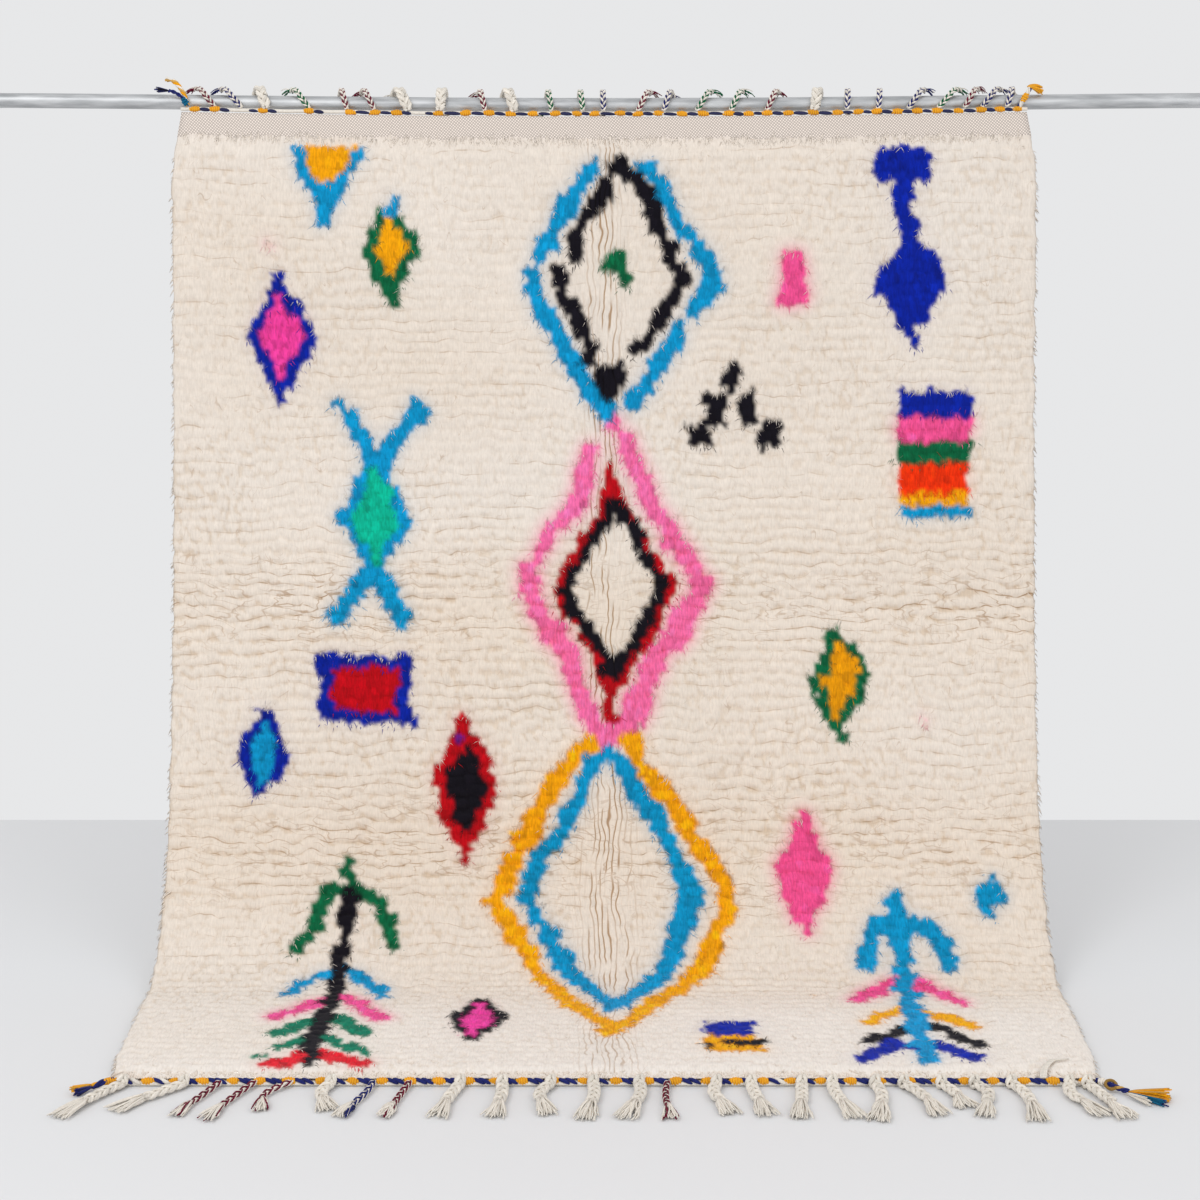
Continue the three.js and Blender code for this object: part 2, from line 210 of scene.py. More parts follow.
limbs = [  # the rings down the middle: each limb a stroke through a few points
    {"colour": "turquoise", "thick": 0.034, "strokes": [
        [(-0.020, 0.091), (-0.083, 0.196), (-0.119, 0.258)],
        [(-0.136, 0.289), (-0.125, 0.338), (-0.083, 0.402), (-0.020, 0.516), (0.009, 0.542)],
        [(0.077, 0.091), (0.128, 0.182), (0.187, 0.271), (0.200, 0.308), (0.170, 0.357)],
        [(0.139, 0.390), (0.110, 0.435), (0.053, 0.522)]]},
    {"colour": "black", "thick": 0.029, "strokes": [
        [(0.025, 0.084), (0.075, 0.147), (0.117, 0.251), (0.150, 0.302)],
        [(0.138, 0.326), (0.121, 0.349), (0.088, 0.391), (0.059, 0.430)],
        [(0.005, 0.121), (-0.009, 0.159), (-0.039, 0.189)], [(-0.046, 0.214), (-0.055, 0.254)],
        [(-0.083, 0.290), (-0.083, 0.310)], [(-0.075, 0.338), (-0.020, 0.419)],
        [(-0.034, 0.450), (-0.028, 0.452)]]},
    {"colour": "black", "thick": 0.036, "strokes": [
        [(0.001, 0.468), (0.007, 0.500)], [(0.030, 0.464), (0.022, 0.500)]]},
    {"colour": "green", "thick": 0.035, "strokes": [[(0.019, 0.266), (0.034, 0.284), (0.038, 0.304)]]},
    {"colour": "rose", "thick": 0.034, "strokes": [
        [(-0.026, 0.612), (-0.039, 0.687), (-0.118, 0.801), (-0.145, 0.866), (-0.121, 0.916)],
        [(0.020, 0.565), (0.075, 0.676), (0.134, 0.789), (0.173, 0.840), (0.176, 0.879)]]},
    {"colour": "rose", "thick": 0.044, "strokes": [
        [(-0.115, 0.920), (-0.062, 0.999), (-0.044, 1.056), (0.000, 1.150)],
        [(0.160, 0.900), (0.114, 0.973), (0.060, 1.086), (0.027, 1.138)]]},
    {"colour": "red", "thick": 0.024, "strokes": [
        [(0.013, 0.648), (0.018, 0.700)], [(0.008, 0.668), (0.012, 0.715)], [(0.023, 0.675), (0.028, 0.715)],
        [(0.002, 0.711), (-0.085, 0.860), (-0.079, 0.890), (-0.015, 0.982), (0.005, 1.038)],
        [(0.037, 0.717), (0.125, 0.860), (0.105, 0.907), (0.051, 0.999), (0.024, 1.056)]]},
    {"colour": "red", "thick": 0.021, "strokes": [[(0.014, 1.030), (0.015, 1.100)]]},
    {"colour": "black", "thick": 0.027, "strokes": [
        [(0.013, 0.722), (-0.024, 0.779), (-0.074, 0.871), (-0.052, 0.912), (0.003, 0.986)],
        [(0.026, 0.719), (0.051, 0.748), (0.099, 0.848), (0.101, 0.881), (0.036, 0.997)]]},
    {"colour": "black", "thick": 0.042, "strokes": [[(0.014, 1.010), (0.024, 1.018)]]},
    {"colour": "yellow", "thick": 0.036, "strokes": [
        [(-0.028, 1.158), (-0.079, 1.209), (-0.142, 1.326), (-0.195, 1.440), (-0.170, 1.501)],
        [(-0.165, 1.505), (-0.131, 1.568), (-0.080, 1.674), (0.014, 1.853)],
        [(0.049, 1.145), (0.069, 1.197), (0.151, 1.300), (0.221, 1.418), (0.224, 1.459), (0.163, 1.608)],
        [(0.160, 1.612), (0.094, 1.709), (0.033, 1.820)]]},
    {"colour": "turquoise", "thick": 0.034, "strokes": [
        [(0.029, 1.186), (0.003, 1.177), (-0.022, 1.186), (-0.033, 1.236), (-0.116, 1.370), (-0.137, 1.430)],
        [(-0.137, 1.432), (-0.115, 1.493), (-0.039, 1.637), (0.015, 1.744)],
        [(0.029, 1.186), (0.062, 1.254), (0.100, 1.300), (0.151, 1.409),
         (0.160, 1.451), (0.109, 1.585), (0.027, 1.735)]]},
    {"colour": "turquoise", "thick": 0.048, "strokes": [[(0.150, 1.438), (0.131, 1.520)]]},
]
smallLozenges = [  # rim at the sides, the top and the foot; bulge 1 for straight sides
    {"colour": "green", "heart": "yellow", "x": -0.387, "half": 0.056, "v": (0.158, 0.245, 0.352),
     "rim": (0.020, 0.026, 0.056), "bulge": 1.1},
    {"colour": "royal", "heart": "hotPink", "x": -0.592, "half": 0.067, "v": (0.294, 0.411, 0.533),
     "rim": (0.026, 0.032, 0.046), "bulge": 1.05},
    {"colour": "turquoise", "heart": "emerald", "x": -0.420, "half": 0.075, "v": (0.618, 0.742, 0.850),
     "rim": (0.026, 0.026, 0.026), "bulge": 1.0},
    {"colour": "royal", "heart": "turquoise", "x": -0.622, "half": 0.047, "v": (1.086, 1.176, 1.257),
     "rim": (0.023, 0.030, 0.024), "bulge": 1.4},
    {"colour": "red", "heart": "black", "x": -0.253, "half": 0.058, "v": (1.106, 1.235, 1.370),
     "rim": (0.020, 0.046, 0.054), "bulge": 1.5},
    {"colour": "black", "heart": "hotPink", "x": -0.215, "half": 0.056, "v": (1.700, 1.800, 1.894),
     "rim": (0.025, 0.024, 0.024), "bulge": 1.0},
    {"colour": "green", "heart": "mustard", "x": 0.430, "half": 0.056, "v": (0.934, 1.038, 1.145),
     "rim": (0.023, 0.028, 0.036), "bulge": 1.3},
    {"colour": "pink", "heart": "pink", "x": 0.362, "half": 0.053, "v": (1.285, 1.395, 1.518),
     "rim": (0.010, 0.010, 0.010), "bulge": 1.35},
    {"colour": "turquoise", "heart": "turquoise", "x": 0.695, "half": 0.029, "v": (1.394, 1.438, 1.484),
     "rim": (0.010, 0.010, 0.010), "bulge": 1.0},
    {"colour": "royal", "heart": "royal", "x": 0.565, "half": 0.065, "v": (0.215, 0.311, 0.412),
     "rim": (0.010, 0.010, 0.010), "bulge": 1.3},
]
boxes = [  # colour, from and to across, from and to down
    ("royal", (-0.526, -0.350), (0.992, 1.118)), ("red", (-0.500, -0.378), (1.016, 1.096)),
    ("red", (-0.269, -0.238), (1.108, 1.152)), ("royal", (0.491, 0.594), (0.060, 0.124)),
    ("pink", (0.325, 0.370), (0.250, 0.346)), ("royal", (0.538, 0.677), (0.505, 0.553)),
    ("pink", (0.538, 0.677), (0.553, 0.600)), ("green", (0.535, 0.677), (0.600, 0.641)),
    ("orange", (0.541, 0.675), (0.641, 0.694)), ("yellow", (0.541, 0.670), (0.694, 0.716)),
    ("turquoise", (0.545, 0.670), (0.716, 0.742)), ("green", (0.402, 0.432), (0.936, 0.968)),
    ("green", (0.416, 0.446), (1.112, 1.148)), ("royal", (0.160, 0.256), (1.815, 1.878)),
    ("yellow", (0.160, 0.262), (1.878, 1.950)), ("black", (0.188, 0.264), (1.900, 1.922)),
    ("black", (0.158, 0.172), (1.910, 1.945)), ("black", (0.217, 0.248), (0.453, 0.503)),
    ("black", (0.187, 0.228), (0.510, 0.570)), ("black", (0.152, 0.200), (0.564, 0.608)),
    ("black", (0.250, 0.284), (0.506, 0.566)), ("black", (0.290, 0.324), (0.558, 0.608)),
]
strokes = [  # colour, thickness, points along the stroke
    ("turquoise", 0.036, [(-0.482, 0.535), (-0.415, 0.645), (-0.335, 0.535)]),
    ("turquoise", 0.038, [(-0.490, 0.920), (-0.426, 0.825), (-0.372, 0.920)]),
    ("royal", 0.040, [(0.545, 0.120), (0.552, 0.170), (0.556, 0.260)]),
    ("royal", 0.020, [(0.565, 0.395), (0.567, 0.428)]),
]
trees = [  # trunk and crown as strokes, then pairs of branches from the top down
    {"crown": "green", "crownThick": 0.030, "trunk": "black", "thick": 0.031,
     "crowns": [[(-0.460, 1.375), (-0.458, 1.424)], [(-0.470, 1.424), (-0.497, 1.430)],
                [(-0.508, 1.448), (-0.516, 1.492)], [(-0.526, 1.508), (-0.543, 1.545)],
                [(-0.446, 1.422), (-0.404, 1.447), (-0.396, 1.478), (-0.374, 1.536)]],
     "trunkPoints": [(-0.457, 1.430), (-0.462, 1.539), (-0.474, 1.573), (-0.464, 1.708), (-0.472, 1.805),
                     (-0.475, 1.919), (-0.476, 1.998)],
     "branches": [
         ("turquoise", 0.028, [(-0.555, 1.683), (-0.500, 1.610), (-0.466, 1.585), (-0.418, 1.622),
                               (-0.377, 1.683)]),
         ("pink", 0.032, [(-0.552, 1.786), (-0.481, 1.712), (-0.443, 1.697), (-0.372, 1.798)]),
         ("fern", 0.036, [(-0.540, 1.866), (-0.498, 1.820), (-0.449, 1.797), (-0.398, 1.868)]),
         ("fern", 0.032, [(-0.520, 1.924), (-0.485, 1.888), (-0.454, 1.890), (-0.390, 1.948)]),
         ("scarlet", 0.042, [(-0.528, 1.999), (-0.510, 1.984), (-0.488, 1.962), (-0.456, 1.960),
                             (-0.394, 1.996)]),
         ("fern", 0.012, [(-0.572, 1.966), (-0.555, 1.962)])]},
    {"crown": "turquoise", "crownThick": 0.036, "trunk": "turquoise", "thick": 0.038,
     "crowns": [[(0.525, 1.445), (0.523, 1.490)],
                [(0.520, 1.492), (0.492, 1.498), (0.470, 1.522), (0.458, 1.585)],
                [(0.530, 1.492), (0.575, 1.503), (0.600, 1.536), (0.608, 1.585)]],
     "trunkPoints": [(0.523, 1.483), (0.529, 1.611), (0.521, 1.713), (0.528, 1.795), (0.513, 1.985)],
     "branches": [
         ("pink", 0.032, [(0.439, 1.706), (0.505, 1.628), (0.543, 1.628), (0.614, 1.722)]),
         ("yellow", 0.032, [(0.442, 1.818), (0.500, 1.760), (0.534, 1.760), (0.610, 1.832)]),
         ("black", 0.030, [(0.424, 1.905), (0.517, 1.838), (0.552, 1.836), (0.611, 1.918)]),
         ("royal", 0.038, [(0.420, 1.976), (0.476, 1.912), (0.512, 1.930), (0.544, 1.919), (0.592, 1.972)])]},
]
triangle = {  # left and right at the top and at the tip, and the rims beside its heart
    "top": 0.060, "tip": 0.206, "left": (-0.580, -0.522), "right": (-0.428, -0.506),
    "heartFoot": 0.134, "rim": (0.022, 0.028),
}
specks = [  # colour, place, half-width, how fully dyed
    ("pink", -0.615, 0.242, 0.006, 0.30), ("pink", 0.581, 1.112, 0.006, 0.40),
    ("yellow", 0.363, 1.688, 0.006, 0.45), ("turquoise", -0.384, 0.166, 0.013, 0.95),
    ("royal", -0.264, 1.142, 0.006, 0.70),
]
speckSquash = 0.6  # specks are longer than wide
motifShift = 0.0035  # the motifs' own measure starts this far above the edge


def motifTint(x, v):  # colour of each knot, ivory where no motif is
    tint = np.tile(yarnColours["ivory"], (len(x), 1))
    v = v + motifShift

    def paint(mask, colour, cover=1.0):
        tint[mask] = tint[mask] * (1 - cover) + yarnColours[colour] * cover

    for m in limbs:
        for points in m["strokes"]:
            paint(nearLine(x, v, points, m["thick"]), m["colour"])
    k = np.clip((v - triangle["top"]) / (triangle["tip"] - triangle["top"]), 0, 1)
    left, right = (a + (b - a) * k for a, b in (triangle["left"], triangle["right"]))
    inside = (v > triangle["top"]) & (v < triangle["tip"])
    paint(inside & (x > left) & (x < right), "turquoise")
    heart = (x > left + triangle["rim"][0]) & (x < right - triangle["rim"][1])
    paint(inside & (v < triangle["heartFoot"]) & heart, "yellow")
    for colour, thick, points in strokes:
        paint(nearLine(x, v, points, thick), colour)
    for m in smallLozenges:
        paint(inLozenge(x, v, m), m["colour"])
        paint(inLozenge(x, v, m, m["rim"]), m["heart"])
    for colour, across, down in boxes:
        paint(inBox(x, v, across, down), colour)
    for t in trees:
        for colour, thick, points in t["branches"]:
            paint(nearLine(x, v, points, thick), colour)
        for points in t["crowns"]:
            paint(nearLine(x, v, points, t["crownThick"]), t["crown"])
        paint(nearLine(x, v, t["trunkPoints"], t["thick"]), t["trunk"])
    for colour, sx, sv, half, cover in specks:
        paint(np.hypot(x - sx, (v - sv) * speckSquash) < half, colour, cover)
    return tint


# the pile's rows, and where the wool parts between them
pileRows = {
    "pitch": 0.0205, "from": 0.033, "to": 2.0385, "height": 0.0150, "cell": 0.0035, "strips": 4,
    "wander": [(0.0066, 9, 8, 3), (0.0056, 32, 22, 4), (0.0024, 74, 40, 13)],
}
creases = {  # two bands where the rug bends, and the pile opens
    "bands": [(0.90, 0.085), (1.35, 0.11)],
    "wander": [(0.0080, 17, 13, 12), (0.0030, 45, 30, 14)],
}
middleParting = {  # upright seams along the middle fold, over a wider stretch in the lower ring
    "pitch": 0.0098, "x": 0.006, "spread": 0.040, "seamX": -0.002, "seamSpread": 0.026,
    "lower": (1.10, 1.40), "lowerShift": 0.010, "lowerSpread": 0.013, "full": 1.8, "floorFade": 0.35,
    "sway": [(0.007, 7, 14, 2, 6), (0.0048, 24, 50, 5, 7), (0.0018, 80, 30, 9, 9)],
    "longGaps": (-0.05, 0.50), "shortGaps": (-0.80, 0.10),
}
rowLines = {  # where the wool parts between rows: more in the creases, less at the fold and on the floor
    "inCrease": 0.36, "lowerDown": (0.5, 0.8, 0.10), "onFloor": 0.30, "show": (0.38, 0.95),
    "plain": 0.45, "foldFade": 0.9, "floorFade": 0.5,
}
knotJitter = {  # the rows don't line up exactly, and the tips hang over the next row
    "across": [(0.0060, 36, 34, 41), (0.0052, 95, 80, 42)], "byRow": 0.0075,
    "down": [(0.0050, 30, 30, 45), (0.0045, 170, 30, 44)],
}


def onFloor(v):  # 0 where the rug hangs, 1 where it lies
    return smooth(1.6, 1.8, v)


def creased(x, v):
    bands = sum(hump(v - at, spread) for at, spread in creases["bands"])
    return np.minimum(1, bands) * (0.7 + 0.4 * softNoise(x * 4, v * 9, 61))


def rowWave(x, v):
    return layered(x, v, pileRows["wander"]) + creased(x, v) * layered(x, v, creases["wander"])


def pileField(x, v):
    mid, rows = middleParting, rowLines
    part = hump(x - mid["x"], mid["spread"]) * (1 - 0.5 * onFloor(v))
    band = creased(x, v)
    phase = (v + rowWave(x, v)) / pileRows["pitch"]
    line = np.floor(phase + 0.5)
    broken = 0.5 + 0.5 * softNoise(x * 11 + line * 5.37, line * 2.71, 5)
    since, full, more = rows["lowerDown"]
    broken = broken + rows["inCrease"] * band + more * smooth(since, full, v) - rows["onFloor"] * onFloor(v)
    strength = smooth(*rows["show"], broken)
    strength = strength * (rows["plain"] + (1 - rows["plain"]) * band) * (1 - rows["foldFade"] * part)
    strength = strength * (1 - rows["floorFade"] * onFloor(v))
    sway = sum(far * softNoise(v * down, x * across + shift, seed)
               for far, down, across, shift, seed in mid["sway"])
    column = (x - mid["seamX"] + sway) / mid["pitch"]
    seam = np.floor(column + 0.5)
    lower = smooth(*mid["lower"], v)
    away = x - mid["seamX"] - mid["lowerShift"] * lower
    split = np.minimum(1, mid["full"] * hump(away, mid["seamSpread"] + mid["lowerSpread"] * lower))
    split = split * (1 - mid["floorFade"] * onFloor(v))
    split = split * smooth(*mid["longGaps"], 0.5 + 0.5 * softNoise(v * 9 + seam * 7.7, seam * 3.3, 8))
    split = split * smooth(*mid["shortGaps"], softNoise(v * 27 + seam * 3.1, seam * 5.3, 10))
    return {"phase": phase, "strength": strength, "band": np.clip(band, 0, 1),
            "part": part, "column": column, "split": split}


def knotTint(x, v):
    row = np.floor((v + rowWave(x, v)) / pileRows["pitch"])
    across = layered(x, v, knotJitter["across"]) + knotJitter["byRow"] * softNoise(row * 1.37, x * 12, 43)
    down = layered(x, v, knotJitter["down"])
    return motifTint((x + across).ravel(), (v - down).ravel()).reshape(x.shape + (3,))


# materials
class Net:  # the nodes of one material or group
    def __init__(self, tree):
        self.tree = tree

    def plug(self, node, inputs):  # each a value or another node's output
        for key, value in inputs.items():
            if isinstance(value, bpy.types.NodeSocket):
                self.tree.links.new(value, node.inputs[key])
            else:
                node.inputs[key].default_value = value

    def add(self, kind, inputs=None, **settings):
        node = self.tree.nodes.new("ShaderNode" + kind)
        for key, value in settings.items():
            setattr(node, key, value)
        self.plug(node, inputs or {})
        return node.outputs

    def math(self, operation, a, b=0.0):
        return self.add("Math", {0: a, 1: b}, operation=operation)[0]

    def remap(self, value, low, high, toLow, toHigh):
        ends = {"From Min": low, "From Max": high, "To Min": toLow, "To Max": toHigh}
        return self.add("MapRange", {"Value": value, **ends}, interpolation_type="SMOOTHSTEP")[0]

    def multiplied(self, factor, a, b):
        inputs = {"Factor": factor, "A": a, "B": b}
        return self.add("Mix", inputs, data_type="RGBA", blend_type="MULTIPLY")["Result"]

    def flat(self, x, y):
        return self.add("CombineXYZ", {0: x, 1: y})[0]

    def noise(self, vector, detail=0.0, scale=1.0, **settings):
        return self.add("TexNoise", {"Scale": scale, "Detail": detail, "Vector": vector}, **settings)["Fac"]

    def bump(self, height, distance):
        return self.add("Bump", {"Strength": 0.5, "Distance": distance, "Height": height})["Normal"]

    def tint(self):
        return self.add("VertexColor", layer_name="tint")["Color"]

    def clothMap(self):
        return self.add("UVMap", uv_map="cloth")["UV"]


def newMaterial(name):
    mat = bpy.data.materials.new(name)
    mat.use_nodes = True
    return mat, Net(mat.node_tree), mat.node_tree.nodes["Principled BSDF"]


def newGroup(name, inputs, outputs):
    tree = bpy.data.node_groups.new(name, "ShaderNodeTree")
    for way, sockets in (("INPUT", inputs), ("OUTPUT", outputs)):
        for socket, kind in sockets.items():
            tree.interface.new_socket(socket, in_out=way, socket_type="NodeSocket" + kind)
    return Net(tree), tree.nodes.new("NodeGroupInput").outputs, tree.nodes.new("NodeGroupOutput")


def fibreGroup():  # fibre streaks: a tint and a height from a map in metres
    sockets = {"Tint": "Color", "Map": "Vector", "Across": "Float", "Along": "Float", "Depth": "Float"}
    net, given, result = newGroup("woolFibre", sockets, {"Tint": "Color", "Height": "Float"})
    scale = net.flat(given["Across"], given["Along"])
    fibre = net.noise(net.add("VectorMath", {0: given["Map"], 1: scale}, operation="MULTIPLY")[0], 2.0)
    shade = net.remap(fibre, 0.3, 0.7, given["Depth"], 1.03)
    net.plug(result, {"Tint": net.multiplied(1.0, given["Tint"], shade), "Height": fibre})
    return net.tree


crackLines = {  # painted shade along where the pile parts: where each line is full and where it has faded
    "rows": (0.012, 0.080), "seams": (0.05, 0.20), "hairs": (0.002, 0.020), "wrinkles": (0.003, 0.034),
    "hairShow": (0.04, 0.42), "wrinkleShow": 0.75, "wrinkleLeast": 0.07,
    "shadow": (0.55, 0.41, 0.29, 1), "onDyed": 0.35,
}


def crackGroup():  # fine lines of painted shade where the pile parts: between rows, along the fold, and between locks
    sockets = {"Map": "Vector", "Rows": "Vector", "Parting": "Vector"}
    net, given, result = newGroup("pileCrackShade", sockets, {"Crack": "Float"})
    times = lambda a, b: net.math("MULTIPLY", a, b)
    plus = lambda a, b: net.math("ADD", a, b)
    minus = lambda a, b: net.math("SUBTRACT", a, b)
    larger = lambda a, b: net.math("MAXIMUM", a, b)
    fromHalf = lambda a: net.math("ABSOLUTE", minus(a, 0.5))
    noise = lambda x, y, detail=0.0: net.noise(net.flat(x, y), detail, noise_dimensions="2D")
    place, rows, parting = (net.add("SeparateXYZ", {0: given[key]}) for key in sockets)

    def spots(across, down, detail=0.0):  # so many bumps a metre
        return noise(times(place[0], across), times(place[1], down), detail)

    def contour(value, kind):  # thin lines where a noise passes its middle
        return net.remap(fromHalf(value), *crackLines[kind], 1.0, 0.0)

    def line(phase, kind):  # thin lines at whole numbers
        off = minus(0.5, fromHalf(net.math("FRACT", phase)))
        return net.remap(off, *crackLines[kind], 1.0, 0.0)

    patches = spots(21, 24, 1.0)
    pieces = spots(52, 62)  # breaks the lines into short ones
    rowLine = times(line(rows[0], "rows"), rows[1])
    rowLine = times(rowLine, net.remap(pieces, 0.34, 0.60, 0.15, 1.0))
    seamLine = times(line(parting[0], "seams"), parting[1])
    bent = plus(times(place[0], 66), times(spots(34, 48), 1.2))
    hairs = contour(noise(plus(bent, times(place[1], 9)), times(place[1], 13)), "hairs")
    hairs = times(hairs, net.remap(pieces, 0.42, 0.62, 0.0, 1.0))
    hairs = times(hairs, net.remap(patches, 0.44, 0.62, *crackLines["hairShow"]))
    hairs = times(hairs, minus(1.0, parting[2]))
    bent = plus(plus(times(place[1], 56), times(place[0], -5)), times(spots(24, 20), 0.9))
    wrinkles = contour(noise(times(place[0], 20), bent, 1.0), "wrinkles")
    wrinkles = times(wrinkles, net.remap(patches, 0.34, 0.54, 0.0, 1.0))
    wrinkles = times(wrinkles, larger(times(rows[2], crackLines["wrinkleShow"]), crackLines["wrinkleLeast"]))
    net.plug(result, {"Crack": larger(larger(rowLine, seamLine), larger(hairs, wrinkles))})
    return net.tree


woolFibre = fibreGroup()
pileCrackShade = crackGroup()
woolKinds = {  # fibres a metre, darkest streak, bump
    "pileWool": {"across": 330, "along": 70, "depth": 0.93, "bump": 0.002},
    "wispWool": {"across": 420, "along": 130, "depth": 0.94, "bump": 0.0008},
    "plaitWool": {"across": 900, "along": 260, "depth": 0.84, "bump": 0.0008},
}
woolSurface = {"Roughness": 0.95, "Specular IOR Level": 0.08, "Sheen Weight": 0.05, "Sheen Roughness": 0.6}
dyedWool = {"saturation": (0.35, 0.75), "streak": 0.17}  # streaks show more on dyed wool, and the painted shade lines less


def woolMaterial(name, cracked=False):
    kind = woolKinds[name]
    mat, net, bsdf = newMaterial(name)
    tint, place, depth = net.tint(), net.clothMap(), kind["depth"]
    if cracked:
        hue = net.add("SeparateColor", {"Color": tint}, mode="HSV")
        dyed = lambda plain, full: net.remap(hue[1], *dyedWool["saturation"], plain, full)
        depth = dyed(depth, depth - dyedWool["streak"])
    inputs = {"Tint": tint, "Map": place, "Across": kind["across"], "Along": kind["along"], "Depth": depth}
    fibre = net.add("Group", inputs, node_tree=woolFibre)
    colour = fibre["Tint"]
    if cracked:
        inputs = {"Map": place}
        for socket, layer in (("Rows", "rows"), ("Parting", "parting")):
            inputs[socket] = net.add("Attribute", attribute_name=layer)["Vector"]
        cracks = net.add("Group", inputs, node_tree=pileCrackShade)["Crack"]
        # painted shade: the crack lines pull the colour towards the shadow colour
        lines = net.math("MULTIPLY", cracks, dyed(1.0, crackLines["onDyed"]))
        colour = net.multiplied(lines, colour, crackLines["shadow"])
    normal = net.bump(fibre["Height"], kind["bump"])
    net.plug(bsdf, {"Base Color": colour, "Normal": normal, **woolSurface})
    return mat


pileWool = woolMaterial("pileWool", cracked=True)
wispWool = woolMaterial("wispWool")
plaitWool = woolMaterial("plaitWool")
weaveLook = {"turns": (52, -38), "scale": 78, "wander": 1.2, "shade": (0.62, 1.22), "bump": 0.001}


def groundMaterial():  # woven ground: ribs of weft with knots between them
    mat, net, bsdf = newMaterial("wovenGround")
    place, waves = net.clothMap(), []
    for turn in weaveLook["turns"]:
        slant = net.add("Mapping", {"Vector": place, "Rotation": (0, 0, math.radians(turn))})[0]
        inputs = {"Scale": weaveLook["scale"], "Distortion": weaveLook["wander"], "Vector": slant}
        waves.append(net.add("TexWave", inputs)["Fac"])
    both = net.math("MULTIPLY", *waves)
    colour = net.multiplied(1.0, net.tint(), net.remap(both, 0.0, 0.50, *weaveLook["shade"]))
    normal = net.bump(both, weaveLook["bump"])
    net.plug(bsdf, {"Base Color": colour, "Normal": normal, "Roughness": 0.95, "Specular IOR Level": 0.1})
    return mat


wovenGround = groundMaterial()
zincLook = {
    "turn": 28, "stretch": (9, 60, 60), "rough": (0.40, 0.58),
    "ramp": [(0.35, (0.40, 0.41, 0.42, 1)), (0.68, (0.64, 0.65, 0.66, 1))],
}


def rodMaterial():  # dull zinc with faint spiral streaks
    mat, net, bsdf = newMaterial("zincPipe")
    turn = (0, math.radians(zincLook["turn"]), 0)
    inputs = {"Vector": net.add("TexCoord")["Object"], "Rotation": turn, "Scale": zincLook["stretch"]}
    streak = net.noise(net.add("Mapping", inputs)[0], 4, 1.6)
    colour = net.add("ValToRGB", {"Fac": streak})["Color"]
    for element, (at, shade) in zip(colour.node.color_ramp.elements, zincLook["ramp"]):
        element.position, element.color = at, shade
    rough = net.remap(streak, 0.0, 1.0, *zincLook["rough"])
    net.plug(bsdf, {"Base Color": colour, "Roughness": rough, "Metallic": 0.75})
    return mat


zincPipe = rodMaterial()
print("materials ready")


# rod: a length of pipe, bowed under the rug's weight
rodPipe = {"radius": 0.01345, "length": 2.4, "wall": 0.0026, "bore": 0.06, "sides": 40, "cuts": 39}


def selectOnly(ob, kind, wanted):  # faces or edges, and on to edit mode
    bpy.ops.object.mode_set(mode="EDIT")
    bpy.ops.mesh.select_mode(type=kind)
    bpy.ops.mesh.select_all(action="DESELECT")
    bpy.ops.object.mode_set(mode="OBJECT")
    for part in ob.data.polygons if kind == "FACE" else ob.data.edges:
        part.select = wanted(part)
    bpy.ops.object.mode_set(mode="EDIT")


def makeRod():
    bpy.ops.object.select_all(action="DESELECT")
    bpy.ops.mesh.primitive_cylinder_add(vertices=rodPipe["sides"], radius=rodPipe["radius"],
                                        depth=rodPipe["length"], rotation=(0, math.pi / 2, 0))
    ob = bpy.context.object
    ob.name = "rodPipe"
    bpy.ops.object.transform_apply(location=True, rotation=True, scale=True)
    half = rodPipe["length"] / 2
    me = ob.data
    for side in (-1, 1):
        selectOnly(ob, "FACE", lambda p: p.normal.x * side > 0.9 and p.center.x * side > half - 0.001)
        bpy.ops.mesh.inset(thickness=rodPipe["wall"])
        bpy.ops.mesh.extrude_region_move(TRANSFORM_OT_translate={"value": (-side * rodPipe["bore"], 0, 0)})
        bpy.ops.object.mode_set(mode="OBJECT")
    span = lambda e: abs(me.vertices[e.vertices[0]].co.x - me.vertices[e.vertices[1]].co.x)
    selectOnly(ob, "EDGE", lambda e: span(e) > rodPipe["length"] * 0.9)
    bpy.ops.mesh.subdivide(number_cuts=rodPipe["cuts"])
    bpy.ops.object.mode_set(mode="OBJECT")
    for vert in me.vertices:
        vert.co.z -= float(rodDrop(vert.co.x))
    bpy.ops.object.shade_smooth_by_angle(angle=math.radians(40))
    me.materials.append(zincPipe)
    return ob


rod = makeRod()
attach(rod, "root")
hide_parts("rod")
print("rod made")


# woven ground: a thin closed sheet on the rug's curve
groundSheet = {
    "inset": 0.002, "half": 0.782, "step": 0.013, "thick": 0.004, "back": 0.0002,
    "bandRows": [0, 0.010, 0.021, 0.032],  # the bare band's own rows of points
    "fade": (0.82, 0.10),  # the knots' colours as they show at the back
}


